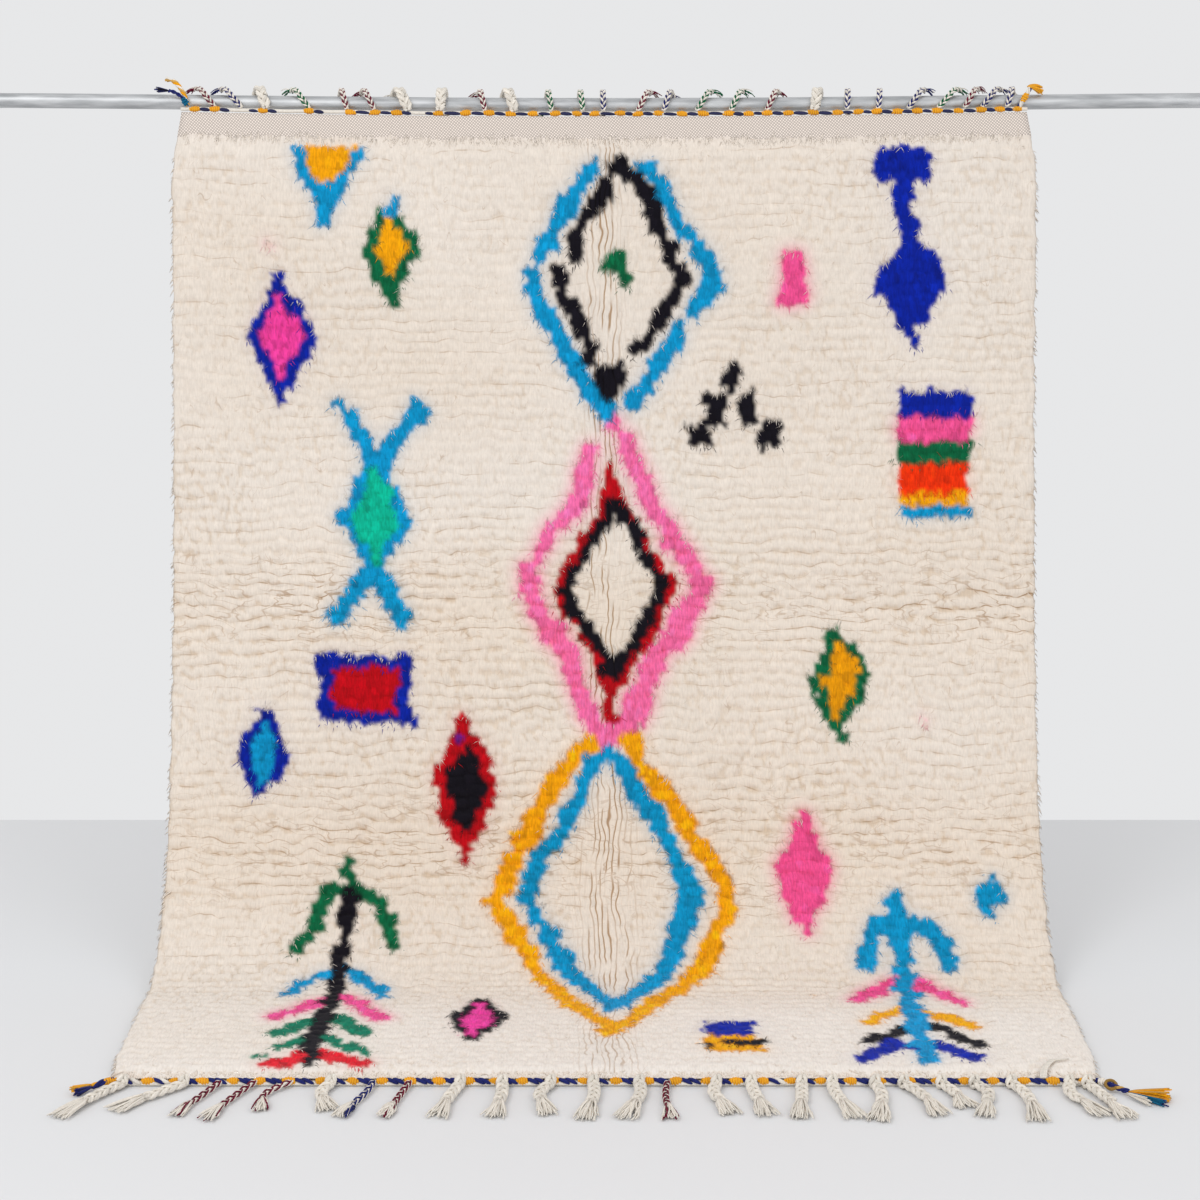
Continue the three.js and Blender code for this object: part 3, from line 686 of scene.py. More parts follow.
def makeGround():
    cols = int(2 * groundSheet["half"] / groundSheet["step"])
    rows = int(rugCurve["length"] / groundSheet["step"])
    knotted = np.linspace(rugCurve["flatWeave"], rugCurve["length"] - 0.001, rows)
    vs = np.concatenate([groundSheet["bandRows"], knotted])
    rows = len(vs)
    u = np.linspace(-1, 1, cols)[None]
    left, right = (np.minimum(halfWidth(vs, side) - groundSheet["inset"], groundSheet["half"])[:, None]
                   for side in ("left", "right"))
    x = np.where(u < 0, u * left, u * right)
    v = np.broadcast_to(vs[:, None], x.shape)
    front = rugPoint(x, v, groundSheet["thick"]).reshape(-1, 3)
    back = rugPoint(x, v, groundSheet["back"]).reshape(-1, 3)
    n = rows * cols
    quads = gridFaces(rows, cols)
    rim = np.concatenate([np.arange(rows) * cols, (rows - 1) * cols + np.arange(1, cols),
                          (np.arange(rows - 1)[::-1]) * cols + cols - 1, np.arange(cols - 2, 0, -1)])
    nxt = np.roll(rim, -1)
    sides = np.stack([rim, rim + n, nxt + n, nxt], -1)
    tint = motifTint(x.ravel(), v.ravel())
    bare = v.ravel() < rugCurve["flatWeave"] + 0.010
    tint[bare] = yarnColours["weave"]
    behind = tint * groundSheet["fade"][0] + groundSheet["fade"][1] * yarnColours["weave"]
    behind[bare] = yarnColours["weave"]
    uv = np.column_stack([x.ravel(), v.ravel()])
    faces = np.concatenate([quads, quads[:, ::-1] + n, sides])
    return addMesh("wovenGround", np.concatenate([front, back]), faces, tint=np.concatenate([tint, behind]),
                   uv=np.concatenate([uv, uv]), material=wovenGround)


ground = makeGround()
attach(ground, "root")
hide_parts("rug")
print("woven ground made")


# pile: overlapping locks of wool, row under row, as one soft surface that is deeper where they part
pileLocks = {
    "spacing": 0.0085, "halfLong": 0.0122, "halfWide": 0.0074, "halfSpread": 0.788, "halfCells": 0.791,
    "reach": (5, 7),  # cells of the surface that a lock can cover, down and across
    "heldAtFold": 0.85, "stray": (0.0026, 0.0030), "stagger": 0.618,
    "turn": 0.30, "creaseTurn": 0.6, "strayTurn": 0.18,
    "uneven": {"long": 0.18, "wide": 0.24, "high": 0.05},
    "atFold": {"long": 0.8, "wide": -0.40}, "inCrease": {"long": -0.2, "wide": 1.3},
}


def plantLocks():
    count = int(pileRows["to"] / pileRows["pitch"])
    across = np.arange(-pileLocks["halfSpread"], pileLocks["halfSpread"], pileLocks["spacing"])
    x, k = np.meshgrid(across, np.arange(2, count))
    v = (k + 0.5) * pileRows["pitch"]
    field = pileField(x, v)
    loose = 1 - pileLocks["heldAtFold"] * field["part"]
    strayX, strayV = pileLocks["stray"]
    stagger = (k * pileLocks["stagger"] % 1) * pileLocks["spacing"]
    x = x + loose * (dice.normal(0, strayX, x.shape) + stagger)
    v = v - rowWave(x, v) + loose * dice.normal(0, strayV, x.shape)
    turn = pileLocks["turn"] * softNoise(x * 9, v * 9, 5)
    turn = turn + pileLocks["creaseTurn"] * field["band"] * softNoise(x * 14, v * 17, 6)
    turn = turn + dice.normal(0, pileLocks["strayTurn"], x.shape)

    def size(base, key):
        return base * (1 + dice.normal(0, pileLocks["uneven"][key], x.shape))

    def swollen(key):
        return 1 + pileLocks["atFold"][key] * field["part"] + pileLocks["inCrease"][key] * field["band"]

    high = pileRows["height"] * (1 + 0.06 * softNoise(x * 40, v * 40, 8))
    locks = {"x": x, "v": v, "turn": turn * loose,
             "long": size(pileLocks["halfLong"], "long") * swollen("long"),
             "wide": size(pileLocks["halfWide"], "wide") * swollen("wide"), "high": size(high, "high")}
    return {key: a.ravel() for key, a in locks.items()}


def spreadLocks(x, v, locks):  # height of the highest lock at each place, and which one it is
    rows, cols = x.shape
    ri = np.rint((locks["v"] - v[0, 0]) / (v[1, 0] - v[0, 0])).astype(int)
    ci = np.rint((locks["x"] / pileLocks["halfCells"] + 1) / 2 * (cols - 1)).astype(int)
    near = [np.arange(-n, n + 1) for n in pileLocks["reach"]]
    dr, dc = (t.ravel() for t in np.meshgrid(*near, indexing="ij"))
    r, c = (ri[:, None] + dr).ravel(), (ci[:, None] + dc).ravel()
    who = np.repeat(np.arange(len(ri)), len(dr))
    ok = (r >= 0) & (r < rows) & (c >= 0) & (c < cols)
    r, c, who = r[ok], c[ok], who[ok]
    dx, dv = x[r, c] - locks["x"][who], v[r, c] - locks["v"][who]
    cs, sn = np.cos(locks["turn"][who]), np.sin(locks["turn"][who])
    along = (dv * cs + dx * sn) / locks["long"][who]
    across = (dx * cs - dv * sn) / locks["wide"][who]
    d = np.where(along > 0, np.abs(along) ** 3.2, np.abs(along) ** 2.0) + np.abs(across) ** 2.2
    h = locks["high"][who] * np.sqrt(np.clip(1 - d, 0, 1))
    order = np.argsort(h, kind="stable")
    rise, owner = np.zeros(rows * cols), np.zeros(rows * cols, int)
    rise[(r * cols + c)[order]] = h[order]
    owner[(r * cols + c)[order]] = who[order]
    return rise.reshape(x.shape), owner.reshape(x.shape)


def blurred(a):
    a = np.pad(a, ((1, 1), (1, 1), (0, 0)), mode="edge")
    a = 0.25 * a[:-2] + 0.5 * a[1:-1] + 0.25 * a[2:]
    return 0.25 * a[:, :-2] + 0.5 * a[:, 1:-1] + 0.25 * a[:, 2:]


pileShape = {
    "halfWide": 1.592 / 2, "sideInset": 0.004, "sideRagged": 0.0025, "edgeRound": 0.022, "edgeLow": 0.35,
    "open": (0.14, 0.36), "leastTuft": 0.0045,  # how far the locks come apart, at least and besides
    "rib": 0.0026, "rowCut": 0.0016, "seamCut": 0.0026, "cutSpread": 0.0030,
    "uneven": 0.0010, "fuzz": 0.00025,
    "upperEnd": 0.036, "upperRise": 0.042, "lowerEnd": (2.005, 2.0395), "lowerDrop": 0.58, "endRise": 0.0034,
}
pileDyeAndPaintedLight = {
    "toLock": (0.55, 0.65),  # how far a place takes the colour of its lock, across and down
    "stain": 0.85, "stainSteps": 26, "blueStain": 0.40,  # pinks stain the wool beside them, blues less
    # painted shade: the root colour is the shade deep in the gaps between locks and in a thin line under each
    # row
    "root": (0.82, 0.73, 0.62), "warm": (0.014, 0.042, 0.078), "lockShade": (0.014, 0.10),
    # painted light: the pile that lies on the floor is made paler, as if lit from above
    "upperDim": 0.025, "floorLit": 0.040,
    "creaseShade": [(1.34, 0.16, 1.0), (0.92, 0.14, 0.5)], "floorCool": 1.1,  # painted shade: the creases darker and warmer; on the floor, painted light makes the pile cooler
    # how strongly that painted shade shows in the gaps and under each row, and how wide the line is
    "gapShade": 0.85, "ribShade": 0.30, "ribSpread": 0.0026,
}


def pileSpread():
    vs = np.linspace(pileRows["from"], pileRows["to"], int(2.0 / pileRows["cell"]))
    u = np.linspace(-1, 1, int(2 * pileShape["halfWide"] / pileRows["cell"]))[None]
    left, right = (halfWidth(vs, side) + pileShape["sideRagged"] * softNoise(vs * 60, vs * 0, seed)
                   - pileShape["sideInset"] for side, seed in (("left", 31), ("right", 32)))
    x = np.where(u < 0, u * left[:, None], u * right[:, None])
    return x, np.broadcast_to(vs[:, None], x.shape), left, right


def pileHeight(x, v, field, tuft, lockOpening, ribbed, fromRow):
    shape = pileShape
    fromSeam = np.abs(field["column"] - np.floor(field["column"] + 0.5)) * middleParting["pitch"]
    low = pileRows["height"] - np.maximum(tuft, shape["leastTuft"])
    rise = pileRows["height"] - (shape["open"][0] + shape["open"][1] * lockOpening) * low
    # each row swells between its partings
    swell = np.sqrt(np.clip(1 - (1 - 2 * fromRow / pileRows["pitch"]) ** 2, 0, 1))
    rise = rise - shape["rib"] * ribbed * (1 - swell)
    rise = rise - shape["rowCut"] * field["strength"] * hump(fromRow, shape["cutSpread"])
    rise = rise - shape["seamCut"] * field["split"] * hump(fromSeam, shape["cutSpread"])
    rise = rise + shape["uneven"] * softNoise(x * 9, v * 9, 15) + dice.normal(0, shape["fuzz"], x.shape)
    body = rugCurve["backing"] + rise
    edge = np.minimum(halfWidth(v, "left") + x, halfWidth(v, "right") - x)
    over = np.sqrt(np.clip(1 - (1 - np.clip(edge / shape["edgeRound"], 0, 1)) ** 2, 0, 1))
    body = body * (shape["edgeLow"] + (1 - shape["edgeLow"]) * over)
    ragged = shape["upperEnd"] + 0.003 * softNoise(x * 28, v * 0, 16) + 0.003 * softNoise(x * 110, v * 0, 17)
    ends = smooth(ragged, ragged + shape["upperRise"], v)
    ends = ends * (1 - shape["lowerDrop"] * smooth(*shape["lowerEnd"], v))
    return shape["endRise"] + (body - shape["endRise"]) * ends


def stained(tint):
    bleeds = (tint.max(-1, keepdims=True) > 0.40) & (tint[..., 2:] > 0.10)
    bleeds = np.where(tint[..., :1] > 0.40, 1.0, pileDyeAndPaintedLight["blueStain"]) * bleeds
    glow = tint * bleeds + yarnColours["ivory"] * (1 - bleeds)
    for i in range(pileDyeAndPaintedLight["stainSteps"]):
        glow = blurred(glow)
    stain = pileDyeAndPaintedLight["stain"] * smooth(0.40, 0.60, tint.min(-1))[..., None]
    return tint * (1 - stain) + glow * stain


def pileTint(x, v, locks, tuft, owner, lockOpening, ribbed, fromRow):
    held = np.where(tuft > 0, 1.0, 0.0)
    near = [a + pull * held * (locks[key][owner] - a)
            for key, a, pull in zip(("x", "v"), (x, v), pileDyeAndPaintedLight["toLock"])]
    tint = blurred(knotTint(*near))
    dyed = 1 - smooth(0.30, 0.55, tint.min(-1))
    tint = stained(tint)
    # painted shade: darker where the locks part and the surface lies low, and in a thin line under each row
    low = lockOpening * (1 - smooth(0.005, 0.0130, tuft)) * smooth(0.055, 0.085, v)
    rib = pileDyeAndPaintedLight["ribShade"] * ribbed * (1 - 0.6 * dyed) * hump(fromRow, pileDyeAndPaintedLight["ribSpread"])
    low = np.maximum(pileDyeAndPaintedLight["gapShade"] * low, rib)
    tint = tint * (1 - (1 - np.array(pileDyeAndPaintedLight["root"])) * low[..., None])
    # tone that varies at random, warmer and darker in the creases as painted shade, and cooler on the floor
    # as painted light
    warm = 0.5 * softNoise(x * 3.1, v * 4.3, 18) - pileDyeAndPaintedLight["floorCool"] * onFloor(v)
    for at, spread, amount in pileDyeAndPaintedLight["creaseShade"]:
        warm = warm + amount * hump(v - at, spread)
    least, more = pileDyeAndPaintedLight["lockShade"]
    shade = 1 + dice.normal(0, 1, len(locks["x"]))[owner] * (least + more * dyed)
    shade = shade + 0.012 * softNoise(x * 6, v * 6, 20)
    dim = 1 - pileDyeAndPaintedLight["upperDim"] + pileDyeAndPaintedLight["upperDim"] * smooth(0.35, 0.80, v)
    # painted light: paler where the pile lies on the floor
    shade = shade * (dim + pileDyeAndPaintedLight["floorLit"] * smooth(1.62, 1.82, v))
    tint = tint * shade[..., None] * (1 - warm[..., None] * np.array(pileDyeAndPaintedLight["warm"]))
    fade = smooth(0.032, 0.050, v)[..., None]
    return np.clip(tint * fade + yarnColours["weave"] * (1 - fade), 0.002, 0.95)


def pileGrid():
    x, v, left, right = pileSpread()
    field = pileField(x, v)
    locks = plantLocks()
    tuft, owner = spreadLocks(x, v, locks)
    fromRow = np.abs(field["phase"] - np.floor(field["phase"] + 0.5)) * pileRows["pitch"]
    lockOpening = 0.30 + 0.45 * field["band"] + 0.25 * softNoise(x * 7, v * 10, 19)  # how far the locks come apart
    lockOpening = np.clip(lockOpening + 0.14 * smooth(0.5, 0.9, v) - 0.22 * onFloor(v), 0.10, 1)
    ribbed = np.clip(0.40 + 0.80 * softNoise(x * 9, v * 14, 33), 0.05, 1) * (1 - field["part"])
    ribbed = ribbed * (0.5 + 0.5 * smooth(0.2, 0.5, v)) * (1 - 0.9 * onFloor(v))
    rise = pileHeight(x, v, field, tuft, lockOpening, ribbed, fromRow)
    tint = pileTint(x, v, locks, tuft, owner, lockOpening, ribbed, fromRow)
    return {"x": x, "v": v, "rise": rise, "tint": tint, "field": field, "left": left, "right": right}


grid = pileGrid()
tuckUnder = {"half": (0.780, 0.768), "rise": (0.002, 0.0015)}  # outer and inner column


def makePile():
    def tucked(a, outer, inner):  # two more columns each side that turn in under the overhang
        ends = [np.broadcast_to(t, (len(a), 1) + a.shape[2:])
                for t in (inner[0], outer[0], outer[1], inner[1])]
        return np.concatenate([ends[0], ends[1], a, ends[2], ends[3]], 1)

    x = tucked(grid["x"], *((-half, half) for half in tuckUnder["half"]))
    rise = tucked(grid["rise"], *((rise, rise) for rise in tuckUnder["rise"]))
    keep = lambda a: tucked(a, (a[:, :1], a[:, -1:]), (a[:, :1], a[:, -1:]))
    v, tint = keep(grid["v"]), keep(grid["tint"])
    field = {key: keep(a) for key, a in grid["field"].items()}
    verts = rugPoint(x, v, rise)
    rowValues = np.stack([field["phase"], field["strength"], field["band"]], -1)
    seamValues = np.stack([field["column"], field["split"], field["part"]], -1)
    rows, cols = x.shape
    cuts = np.linspace(0, rows - 1, pileRows["strips"] + 1).astype(int)
    pieces = []
    for i, (a, b) in enumerate(zip(cuts[:-1], cuts[1:])):
        some = slice(a, b + 1)
        uv = np.stack([x[some], v[some]], -1).reshape(-1, 2)
        values = {"rows": rowValues[some].reshape(-1, 3), "parting": seamValues[some].reshape(-1, 3)}
        pieces.append(addMesh(f"pile_{i + 1}", verts[some].reshape(-1, 3), gridFaces(b + 1 - a, cols),
                              tint=tint[some].reshape(-1, 3), uv=uv, material=pileWool, values=values))
    return pieces


def pileTop(x, v):  # height of the pile at any place
    rows, cols = grid["x"].shape
    down = (v - pileRows["from"]) / (pileRows["to"] - pileRows["from"])
    i = np.clip(np.rint(down * (rows - 1)), 0, rows - 1).astype(int)
    half = np.where(x < 0, grid["left"][i], grid["right"][i])
    j = np.clip(np.rint((x / half + 1) / 2 * (cols - 1)), 0, cols - 1).astype(int)
    return grid["rise"][i, j]


# tapered wisps: 3-sided, two rings and a tip
def addWisps(name, x, v, rise, width, tint):  # arrays of (count, 3): the last one is the tip
    n = len(x)
    rings = []
    for j in range(2):
        w = width[:, j]
        rings.append(rugPoint(x[:, j] - w, v[:, j], rise[:, j]))
        rings.append(rugPoint(x[:, j] + w, v[:, j], rise[:, j]))
        rings.append(rugPoint(x[:, j], v[:, j], rise[:, j] + 0.7 * w))
    rings.append(rugPoint(x[:, 2], v[:, 2], rise[:, 2]))
    base = np.arange(n)[:, None] * 7
    quads, tris = [], []
    for k in range(3):
        after = (k + 1) % 3
        quads.append(np.stack([k, k + 3, after + 3, after]) + base)
        tris.append(np.stack([3 + k, 6, 3 + after]) + base)
    uv = np.zeros((n, 7, 2))
    for j in range(2):
        uv[:, 3 * j:3 * j + 3, 0] = x[:, j:j + 1] + np.array([-0.002, 0.002, 0])
        uv[:, 3 * j:3 * j + 3, 1] = v[:, j:j + 1]
    uv[:, 6, 0], uv[:, 6, 1] = x[:, 2], v[:, 2]
    return addMesh(name, np.stack(rings, 1).reshape(-1, 3), np.concatenate(quads), np.concatenate(tris),
                   tint=np.repeat(tint, 7, 0), uv=uv.reshape(-1, 2), material=wispWool)


wispLocks = {
    "motifs": {"tries": 130000, "most": 9600, "half": 0.0008, "long": (0.010, 0.022), "lean": 0.65,
               "x": 0.77, "v": (0.05, 2.02), "edge": 0.05, "rise": (-0.003, 0.0004, -0.0002),
               "stray": (-0.0003, 0.0008), "highest": 0.0225, "tipColour": 0.15},
    "sides": {"count": 1100, "half": 0.0019, "v": (0.060, 2.02), "past": (-0.008, 0.001),
              "down": (0.006, 0.022), "base": (0.004, 0.012), "rise": (0.003, 0.001, -0.002),
              "least": 0.0015},
    "upper": {"count": 900, "half": 0.0016, "x": 0.772, "stray": 0.003, "v": (0.046, 0.060), "way": -1,
              "long": (0.006, 0.018), "rise": (-0.001, 0.0001, 0.0001), "least": 0.0040},
    "lower": {"count": 1400, "half": 0.0026, "x": 0.770, "stray": 0.006, "v": (2.018, 2.030), "way": 1,
              "long": (0.006, 0.015), "rise": (-0.002, -0.0002, -0.0010), "least": 0},
}
wispTaper = np.array([1, 0.85, 0])
wispAlong = np.array([0, 0.55, 1.0])


def wispWidths(half, count):
    return half * dice.uniform(0.6, 1.3, count)[:, None] * wispTaper


def ivoryWisps(count):
    return np.clip(yarnColours["ivory"] * dice.normal(0.99, 0.03, count)[:, None], 0, 0.95)


def motifWisps():  # only where the colour changes, so the edges of the motifs are feathered
    size = wispLocks["motifs"]
    n = size["tries"]
    x = dice.uniform(-size["x"], size["x"], n)
    v = dice.uniform(*size["v"], n)
    lean = dice.normal(0, size["lean"], n)
    long = dice.uniform(*size["long"], n)
    tipX, tipV = x + long * np.sin(lean), v + long * np.cos(lean)
    tint, tipTint = knotTint(x, v), knotTint(tipX, tipV)
    pick = np.nonzero(np.abs(tint - tipTint).sum(1) > size["edge"])[0][:size["most"]]
    m = len(pick)
    x = x[pick, None] + (tipX - x)[pick, None] * wispAlong
    v = v[pick, None] + (tipV - v)[pick, None] * wispAlong
    rise = pileTop(x, v) + np.array(size["rise"])
    rise = np.minimum(rise + dice.uniform(*size["stray"], m)[:, None], size["highest"])
    tint = (1 - size["tipColour"]) * tint[pick] + size["tipColour"] * tipTint[pick]
    tint = tint * dice.normal(1.0, 0.05, m)[:, None]
    return x, v, rise, wispWidths(size["half"], m), np.clip(tint, 0.002, 0.95)


def sideWisps():  # wool that stands past both sides
    size = wispLocks["sides"]
    k = size["count"]
    side = np.where(np.arange(k) % 2 == 0, -1.0, 1.0)
    at = dice.uniform(*size["v"], k)
    edge = np.where(side < 0, halfWidth(at, "left"), halfWidth(at, "right"))
    past = dice.uniform(*size["past"], k)
    across = np.stack([edge - 0.022, edge - 0.003 + 0.7 * past, edge + past + 0.003], 1)
    v = at[:, None] + dice.uniform(*size["down"], k)[:, None] * np.array([0, 0.7, 1.2])
    rise = np.maximum(dice.uniform(*size["base"], k)[:, None] + np.array(size["rise"]), size["least"])
    return side[:, None] * across, v, rise, wispWidths(size["half"], k), ivoryWisps(k)


def endWisps(end):  # up over the bare weave, or forward over the edge cord on the floor
    size = wispLocks[end]
    k = size["count"]
    x = dice.uniform(-size["x"], size["x"], k)[:, None]
    x = x + dice.normal(0, size["stray"], k)[:, None] * 1.2 * wispAlong
    v = dice.uniform(*size["v"], k)[:, None]
    v = v + size["way"] * dice.uniform(*size["long"], k)[:, None] * wispAlong
    rise = np.maximum(pileTop(x, v), size["least"]) + np.array(size["rise"])
    return x, v, rise, wispWidths(size["half"], k), ivoryWisps(k)


def makeWisps():
    return [addWisps("wispsMotifs", *motifWisps()), addWisps("wispsUpper", *endWisps("upper")),
            addWisps("wispsLower", *endWisps("lower")), addWisps("wispsSides", *sideWisps())]


pile = makePile() + makeWisps()
for piece in pile:
    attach(piece, "root")
print("pile made", [len(p.data.polygons) for p in pile])


def runAlong(path):  # length from the start to each point
    return np.concatenate([[0], np.cumsum(np.linalg.norm(np.diff(path, axis=0), axis=1))])


# yarn: many round strands gathered into one mesh
class Yarn:
    def __init__(self):
        self.verts, self.quads, self.tris, self.tint, self.uv, self.count = [], [], [], [], [], 0

    def strand(self, points, radius, colour, sides=5):
        p = np.asarray(points, float)
        n = len(p)
        r = np.broadcast_to(np.asarray(radius, float), (n,))
        t = np.gradient(p, axis=0)
        t /= np.linalg.norm(t, axis=1, keepdims=True) + 1e-12
        ref = [0.31, 0.52, 0.80] if abs(t[:, 0]).mean() > 0.5 else [0.93, 0.21, 0.30]  # not along it
        a = np.cross(t, ref)
        a /= np.linalg.norm(a, axis=1, keepdims=True) + 1e-12
        b = np.cross(t, a)
        turn = 2 * np.pi * np.arange(sides) / sides
        ring = np.cos(turn)[None, :, None] * a[:, None] + np.sin(turn)[None, :, None] * b[:, None]
        self.verts += [(p[:, None] + r[:, None, None] * ring).reshape(-1, 3), p[:1], p[-1:]]
        i = self.count + np.arange(n - 1)[:, None] * sides + np.arange(sides)[None]
        j = self.count + np.arange(n - 1)[:, None] * sides + (np.arange(sides)[None] + 1) % sides
        self.quads.append(np.stack([i, j, j + sides, i + sides], -1).reshape(-1, 4))
        first, last = self.count + n * sides, self.count + n * sides + 1
        e = np.arange(sides)
        f = (e + 1) % sides
        top = self.count + (n - 1) * sides
        self.tris.append(np.stack([np.full(sides, first), self.count + f, self.count + e], -1))
        self.tris.append(np.stack([np.full(sides, last), top + e, top + f], -1))
        run = runAlong(p)
        girth = 2 * np.pi * r.mean() * np.arange(sides) / sides
        uv = np.stack(np.broadcast_arrays(girth[None] + 0.25 * run[:, None], run[:, None]), -1).reshape(-1, 2)
        self.uv += [uv, np.zeros((1, 2)), np.array([[0, run[-1]]])]
        self.tint.append(np.tile(colour, (n * sides + 2, 1)))
        self.count += n * sides + 2

    def build(self, name, node):
        verts = np.concatenate(self.verts)
        verts[:, 2] = np.maximum(verts[:, 2], rugCurve["floor"] + 0.0003)  # nothing goes under the floor
        tint = np.clip(np.concatenate(self.tint), 0, 0.95)
        ob = addMesh(name, verts, np.concatenate(self.quads), np.concatenate(self.tris), tint=tint,
                     uv=np.concatenate(self.uv), material=plaitWool)
        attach(ob, "root")
        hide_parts(node)
        return ob


def shaded(colour, amount=0.06):
    return yarnColours[colour] * (1 + dice.normal(0, amount))


def unit(a):
    return a / (np.linalg.norm(a, axis=-1, keepdims=True) + 1e-12)


def through(points, count):  # smooth path through a few points
    p = np.asarray(points, float)
    t = np.linspace(0, len(p) - 1, count)
    i = np.clip(np.floor(t).astype(int), 0, len(p) - 2)
    f = (t - i)[:, None]
    slope = np.gradient(p, axis=0)
    return ((1 + 2 * f) * (1 - f) ** 2 * p[i] + f * (1 - f) ** 2 * slope[i]
            + f * f * (3 - 2 * f) * p[i + 1] + f * f * (f - 1) * slope[i + 1])


def turned(path, out):  # side directions of a path
    return unit(np.cross(np.gradient(path, axis=0), out))


# three strands over and under each other, each of a thick and a thin yarn
def plaitAlong(yarn, path, side, out, size, steps, period):
    run = runAlong(path)
    s = np.linspace(0, run[-1], steps)
    at = lambda field: np.stack([np.interp(s, run, field[:, i]) for i in range(3)], 1)
    p, a, b = at(path), at(side), at(out)
    r = size["fill"] * size["thick"]
    ease = np.minimum(1, 0.55 + s / 0.02)
    for k, pair in enumerate(size["colours"]):
        turn = 2 * np.pi * s / period + 2 * np.pi * k / 3
        centre = p + ((size["wide"] - r) * np.sin(turn) * ease)[:, None] * a
        centre = centre + ((size["thick"] - r) * np.sin(2 * turn))[:, None] * b
        ahead = unit(np.gradient(p, axis=0))
        yarn.strand(centre - 0.34 * r * ahead, 0.74 * r, shaded(pair[0]))
        yarn.strand(centre + 0.66 * r * ahead + 0.12 * r * b, 0.60 * r, shaded(pair[1]))
    return p[-1].copy(), unit(p[-1] - p[-2])


def plaitSize(yarns, **sizes):  # three strands, each of the same two yarns
    return {**sizes, "colours": (yarns,) * 3}


slimPlait = {
    "wide": 0.0065, "thick": 0.0050, "fill": 0.54, "brush": 0.014, "period": 0.034,
    "floorPeriod": 0.060, "floorShare": 0.64, "brushStrands": 22,
}
plaitSizes = {
    "white": plaitSize(("white", "white"), wide=0.0118, thick=0.0064, fill=0.66, brush=0.019, period=0.040,
                       floorPeriod=0.052, floorShare=0.55, brushStrands=34),
    "green": plaitSize(("white", "green"), **slimPlait),
    "navy": plaitSize(("white", "navy"), **slimPlait),
    "burgundy": plaitSize(("white", "burgundy"), **slimPlait),
}
rodPlaits = [  # place, drift of the tip, degrees round the rod, hang behind
    (-0.713, -0.039, 112, 0, "burgundy"), (-0.664, -0.043, 115, 0, "navy"),
    (-0.618, -0.023, 150, 0, "white"), (-0.540, -0.037, 118, 0, "green"),
    (-0.471, -0.018, 160, 0, "burgundy"), (-0.421, -0.028, 135, 0, "burgundy"),
    (-0.358, -0.029, 145, 0, "white"), (-0.300, 0.005, 180, 0.018, "white"),
    (-0.218, -0.013, 130, 0, "burgundy"), (-0.164, -0.021, 160, 0, "white"),
    (-0.096, -0.014, 180, 0.012, "green"), (-0.039, -0.010, 180, 0.020, "green"),
    (-0.001, -0.003, 180, 0.022, "navy"), (0.062, 0.025, 120, 0, "burgundy"),
    (0.109, 0.018, 140, 0, "navy"), (0.170, 0.030, 115, 0, "green"),
    (0.232, 0.023, 112, 0, "green"), (0.298, 0.024, 125, 0, "burgundy"),
    (0.385, 0.011, 155, 0, "white"), (0.445, 0.006, 180, 0.024, "navy"),
    (0.502, 0.009, 180, 0.016, "navy"), (0.557, 0.035, 115, 0, "navy"),
    (0.612, 0.045, 118, 0, "green"), (0.660, 0.028, 110, 0, "burgundy"),
    (0.692, 0.040, 120, 0, "navy"), (0.738, 0.017, 150, 0, "navy"),
]
bindingCord = {"radius": 0.0055, "half": 0.775, "core": 0.0034, "belowRod": 0.013}
plaitLift = 0.006  # the plaits arch off the top of the rod
plaitGap = 0.0005  # and clear it by this much
looseEnds = {"count": 11, "long": (0.012, 0.022), "thick": (0.0014, 0.0008), "droop": 0.004}


def makeRodPlait(node, x, drift, wrap, hang, kind):
    size = plaitSizes[kind]
    radius = rodPipe["radius"] + plaitGap + size["thick"]
    start = -(bindingCord["belowRod"] - bindingCord["radius"]) + 0.0003 - float(edgeDrop(x) - rodDrop(x))
    total = -start + radius * math.radians(wrap) + hang
    s = np.linspace(0, total, 60)
    turn = np.clip((s + start) / radius, 0, math.radians(wrap))
    arch = radius + plaitLift * np.sin(turn) ** 2
    px = x + drift * s / total
    z = arch * np.sin(turn) + np.where(s < -start, s + start, 0)
    z = z - np.where(s > total - hang, s - (total - hang), 0)
    path = np.stack([px, -arch * np.cos(turn), z - rodDrop(px)], 1)
    out = np.stack([0 * s, -np.cos(turn), np.sin(turn)], 1)
    yarn = Yarn()
    end, along = plaitAlong(yarn, path, turned(path, out), out, size, 40, size["period"])
    lean = np.sign(drift) if abs(drift) > 0.012 else 0
    dark = size["colours"][0][1]
    for i in range(looseEnds["count"]):  # past the plait
        length = dice.uniform(*looseEnds["long"])
        way = 0.6 * along + np.array([lean * dice.uniform(0.5, 1.3), 0, 0]) + dice.normal(0, 0.22, 3)
        way = way + 0.12 * out[-1]
        t = np.linspace(0, 1, 5)[:, None]
        base = end + dice.normal(0, 0.0018, 3) - along * 0.004
        pts = base + unit(way) * length * t + out[-1] * 0.002 * np.sin(np.pi * t)
        pts = pts + np.array([0, 0, -looseEnds["droop"]]) * t ** 2
        yarn.strand(pts, np.linspace(*looseEnds["thick"], 5), shaded(dark if i % 5 else "white"), 4)
    return yarn.build(node + "_yarn", node)


